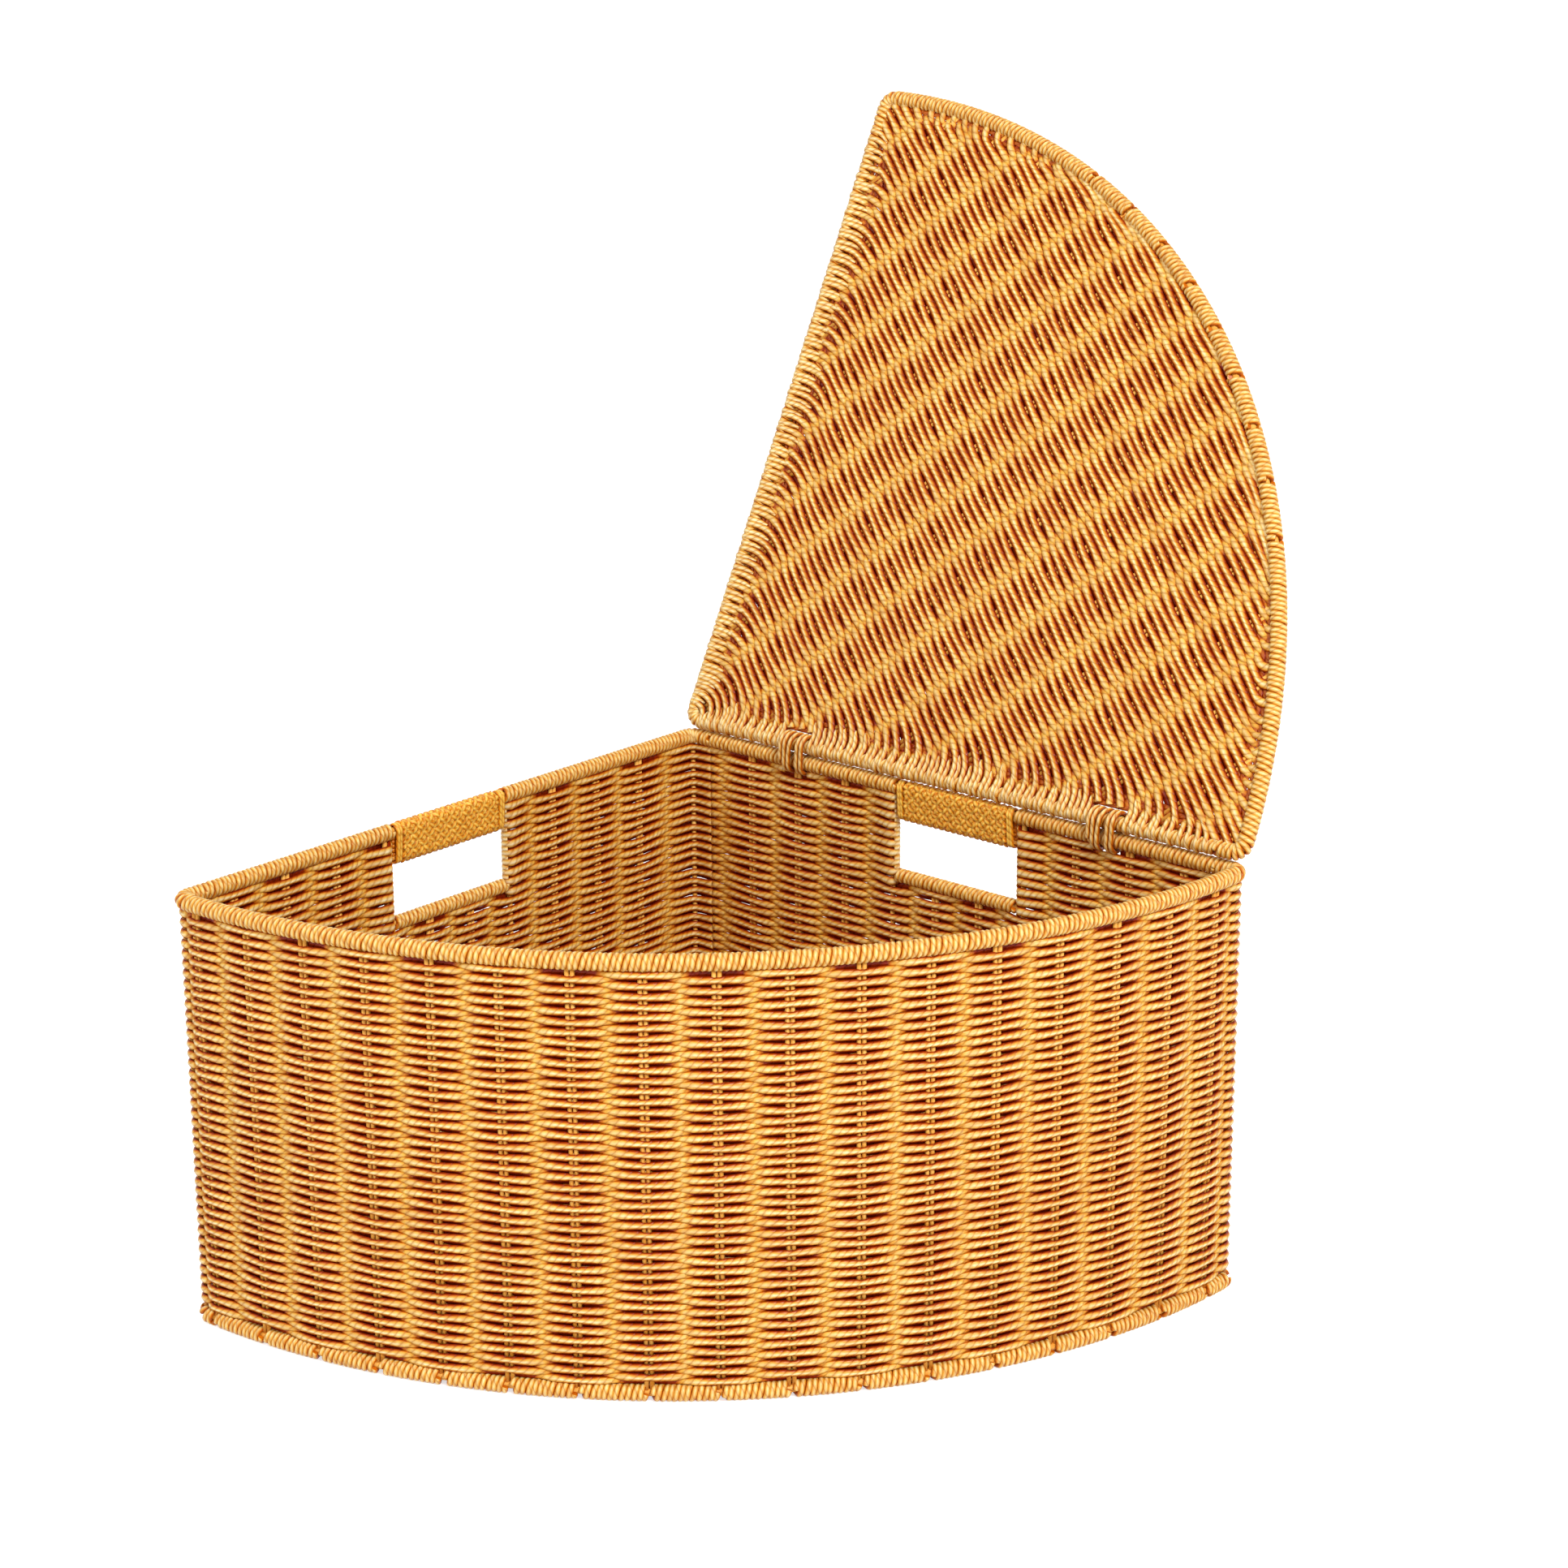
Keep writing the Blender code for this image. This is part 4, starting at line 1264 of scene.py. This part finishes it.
# slope is the way along the wall for each way round. A strand that crosses no other has no crossing.
def bandStrand(side, start, end, offset, slope, crossing=None):
    length = abs(end - start) * math.sqrt(1 + 1 / slope**2)
    along = np.linspace(start, end, stepCount(length, handleBand["step"], fewest=8) + 1)
    travel = (along - start) / (slope * bandLoop) + offset
    out, rise, _ = stadium(travel)
    nextOut, nextRise, _ = stadium(travel + handleBand["nudge"])
    normal = unit(np.stack((nextRise - rise, out - nextOut), axis=1))
    lift = np.zeros(along.shape)
    if crossing is not None:
        crossings = (along - start) * 2 / (bandLoop / handleBand["strands"])
        lift = handleBand["over"] * (slope * np.cos(math.pi * (crossings + crossing)))
    wallAlong, wallNormal = wallWays(side)
    outward = out + lift * normal[:, 0]
    height = rise + lift * normal[:, 1]
    points = wallAlong * along[:, None] + wallNormal * outward[:, None] + up * height[:, None]
    faces = wallNormal * normal[:, 0][:, None] + up * normal[:, 1][:, None]
    return cordRun(points, faces, handleBand["radius"], handleBand["half"])


def bandRuns(side):
    runs = []
    rear = holeStart + clearance
    front = holeEnd - clearance
    start = rear + handleBand["endWidth"] + handleBand["slit"]
    end = front - handleBand["endWidth"] - handleBand["slit"]
    for number in range(handleBand["strands"]):
        for slope in (1.0, -1.0):
            runs.append(bandStrand(side, start, end, number / handleBand["strands"], slope, number))
    for low in (rear + handleBand["half"], front - handleBand["endWidth"]):
        high = low + handleBand["endWidth"] - handleBand["half"]
        runs.append(bandStrand(side, low, high, 0.0, (high - low) / (handleBand["endTurns"] * bandLoop)))
    along = np.linspace(rear + clearance, front - clearance, handleBand["corePoints"])
    wallAlong, wallNormal = wallWays(side)
    lowest = bandBar + wallWeft["reach"]
    for height in np.arange(lowest, basket["wallHeight"], handleBand["coreSpacing"] * handleBand["core"]):
        path = wallAlong * along[:, None] + up * height
        runs.append(cordRun(path, wallNormal, handleBand["core"], shade=handleBand["coreShade"]))
    return runs


handleBands = {"leftHandleBand": (-1, "left_handle_band"), "rightHandleBand": (1, "right_handle_band")}
for title, (side, node) in handleBands.items():
    addCords(title, bandRuns(side), [node], "basket", bandPaper)

sills = {
    "leftSillWinding": ("left_sill_binding", leftHole),
    "rightSillWinding": ("right_sill_binding", rightHole),
}
sillRadius = weaveHalf - basket["cordRadius"]
for title, (node, hole) in sills.items():
    runs = winding(hole[0] + clearance, hole[1] - clearance, sillBar, radius=sillRadius)
    addCords(title, runs, [node], "basket", rimPaper)


# One strand wound round both rims. It steps aside where a stake's two wires stand between its turns.
def lashingRun(place):
    pitch = 2 * lashing["radius"] + lashing["gap"]
    step = 2 * (basket["stakeWire"] + lashing["gap"] + lashing["radius"]) - pitch
    bendRadius = rimRadius + clearance + lashing["radius"]
    flank = 2 * rimRadius + clearance
    bend = math.pi * bendRadius
    perimeter = 2 * (flank + bend)
    reach = (bend / 2 + flank) / perimeter
    middle = lashing["turns"] / 2
    count = round((lashing["turns"] + 2 * reach) * lashing["loopPoints"])
    points = []
    faces = []
    wallAlong, wallNormal = wallWays(1)
    low = basket["wallHeight"]
    high = low + flank
    for turn in np.linspace(-reach, lashing["turns"] + reach, count + 1):
        along = place + pitch * (turn - middle) + step / 2 * max(-1.0, min(1.0, 4 * (turn - middle)))
        travel = (turn % 1.0) * perimeter
        if travel < bend / 2:
            angle = travel / bendRadius
            out, rise, middleRise = math.sin(angle), math.cos(angle), high
        elif travel < bend / 2 + flank:
            out, rise, middleRise = 1.0, 0.0, high - (travel - bend / 2)
        elif travel < 1.5 * bend + flank:
            angle = (travel - bend / 2 - flank) / bendRadius
            out, rise, middleRise = math.cos(angle), -math.sin(angle), low
        elif travel < 1.5 * bend + 2 * flank:
            out, rise, middleRise = -1.0, 0.0, low + travel - 1.5 * bend - flank
        else:
            angle = (travel - 1.5 * bend - 2 * flank) / bendRadius
            out, rise, middleRise = -math.cos(angle), math.sin(angle), high
        face = wallNormal * out + up * rise
        points.append(wallAlong * along + up * middleRise + face * bendRadius)
        faces.append(face)
    wide = lashing["radius"] + lashing["gap"] * lashing["fill"]
    return cordRun(np.array(points), np.array(faces), lashing["radius"], wide)


lashings = {"rearLashing": "rear_hinge_lashing", "frontLashing": "front_hinge_lashing"}
for place, (title, node) in zip(lashingPlaces, lashings.items()):
    addCords(title, [lashingRun(place)], [node], "basket", lashingPaper, sides=10)

studio = {
    "floor": 0.80,
    "floorRoughness": 0.9,
    "floorGlow": 0.66,
    "floorReach": 14.0,
    "sky": 0.60,
    "lampAim": (0.0, 0.0, 0.2),
    "lamps": (  # watts, place and size
        ("keyLight", 74.0, (0.95, -2.1, 2.30), 0.9),
        ("fillLight", 15.0, (-1.9, -1.0, 1.6), 1.6),
    ),
}


# 1 for what the camera sees straight on, in gloss or through glass, and 0 for the light on the object
def seenDirectly(tree):
    rays = addNode(tree, "LightPath")
    mirrored = calculate(tree, "ADD", rays["Is Glossy Ray"], rays["Is Transmission Ray"])
    return calculate(tree, "MINIMUM", calculate(tree, "ADD", rays["Is Camera Ray"], mirrored), 1.0)


def floorMaterial():
    material, tree, shader = newMaterial("paleFloor")
    grey = (studio["floor"], studio["floor"], studio["floor"], 1.0)
    setInputs(tree, shader, {"Base Color": grey, "Roughness": studio["floorRoughness"]})
    strength = calculate(tree, "MULTIPLY", seenDirectly(tree), studio["floorGlow"])
    glow = addNode(tree, "Emission", {"Strength": strength})["Emission"]
    both = addNode(tree, "AddShader", {0: shader.outputs["BSDF"], 1: glow})["Shader"]
    setInputs(tree, tree.nodes["Material Output"], {"Surface": both})
    return material


def addSky():
    world = bpy.data.worlds.new("studioSky")
    world.use_nodes = True
    tree = world.node_tree
    seen = calculate(tree, "MULTIPLY", seenDirectly(tree), 1.0 - studio["sky"])
    strength = calculate(tree, "ADD", seen, studio["sky"])
    setInputs(tree, tree.nodes["Background"], {"Color": (1.0, 1.0, 1.0, 1.0), "Strength": strength})
    bpy.context.scene.world = world


def addStudio():
    reach = studio["floorReach"]
    corners = [(-reach, -reach, 0), (reach, -reach, 0), (reach, reach, 0), (-reach, reach, 0)]
    mesh = bpy.data.meshes.new("floor")
    mesh.from_pydata(corners, [], [(0, 1, 2, 3)])
    floor = addObject("floor", mesh)
    mesh.materials.append(floorMaterial())
    floor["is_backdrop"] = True
    addSky()
    for title, power, place, size in studio["lamps"]:
        lamp = bpy.data.lights.new(title, "AREA")
        lamp.energy = power
        lamp.size = size
        item = addObject(title, lamp)
        item.location = place
        item.rotation_euler = (Vector(studio["lampAim"]) - Vector(place)).to_track_quat("-Z", "Y").to_euler()


# Where the photograph was taken from, with the directions of its right, its lower edge and its depth
view = {
    "lens": 82.58,
    "sensor": 36.0,
    "farthest": 60.0,
    "place": (-0.0785, -1.8424, 0.8426),
    "right": (0.997786, -0.066336, -0.004686),
    "down": (-0.024263, -0.297528, -0.954405),
    "forward": (0.061917, 0.952406, -0.298479),
}


def addCamera():
    lens = bpy.data.cameras.new("camera")
    lens.lens = view["lens"]
    lens.sensor_width = view["sensor"]
    lens.clip_end = view["farthest"]
    camera = addObject("camera", lens)
    axes = Matrix((Vector(view["right"]), -Vector(view["down"]), -Vector(view["forward"]))).transposed()
    camera.matrix_world = Matrix.Translation(view["place"]) @ axes.to_4x4()
    bpy.context.scene.camera = camera


addStudio()
addCamera()
print("floor, lamps and camera set")
bpy.context.scene.view_settings.view_transform = "Standard"
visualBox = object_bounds()
for title, box in (("cad", cadBox), ("visual", visualBox)):
    print(title, [[round(value, 4) for value in corner] for corner in box])
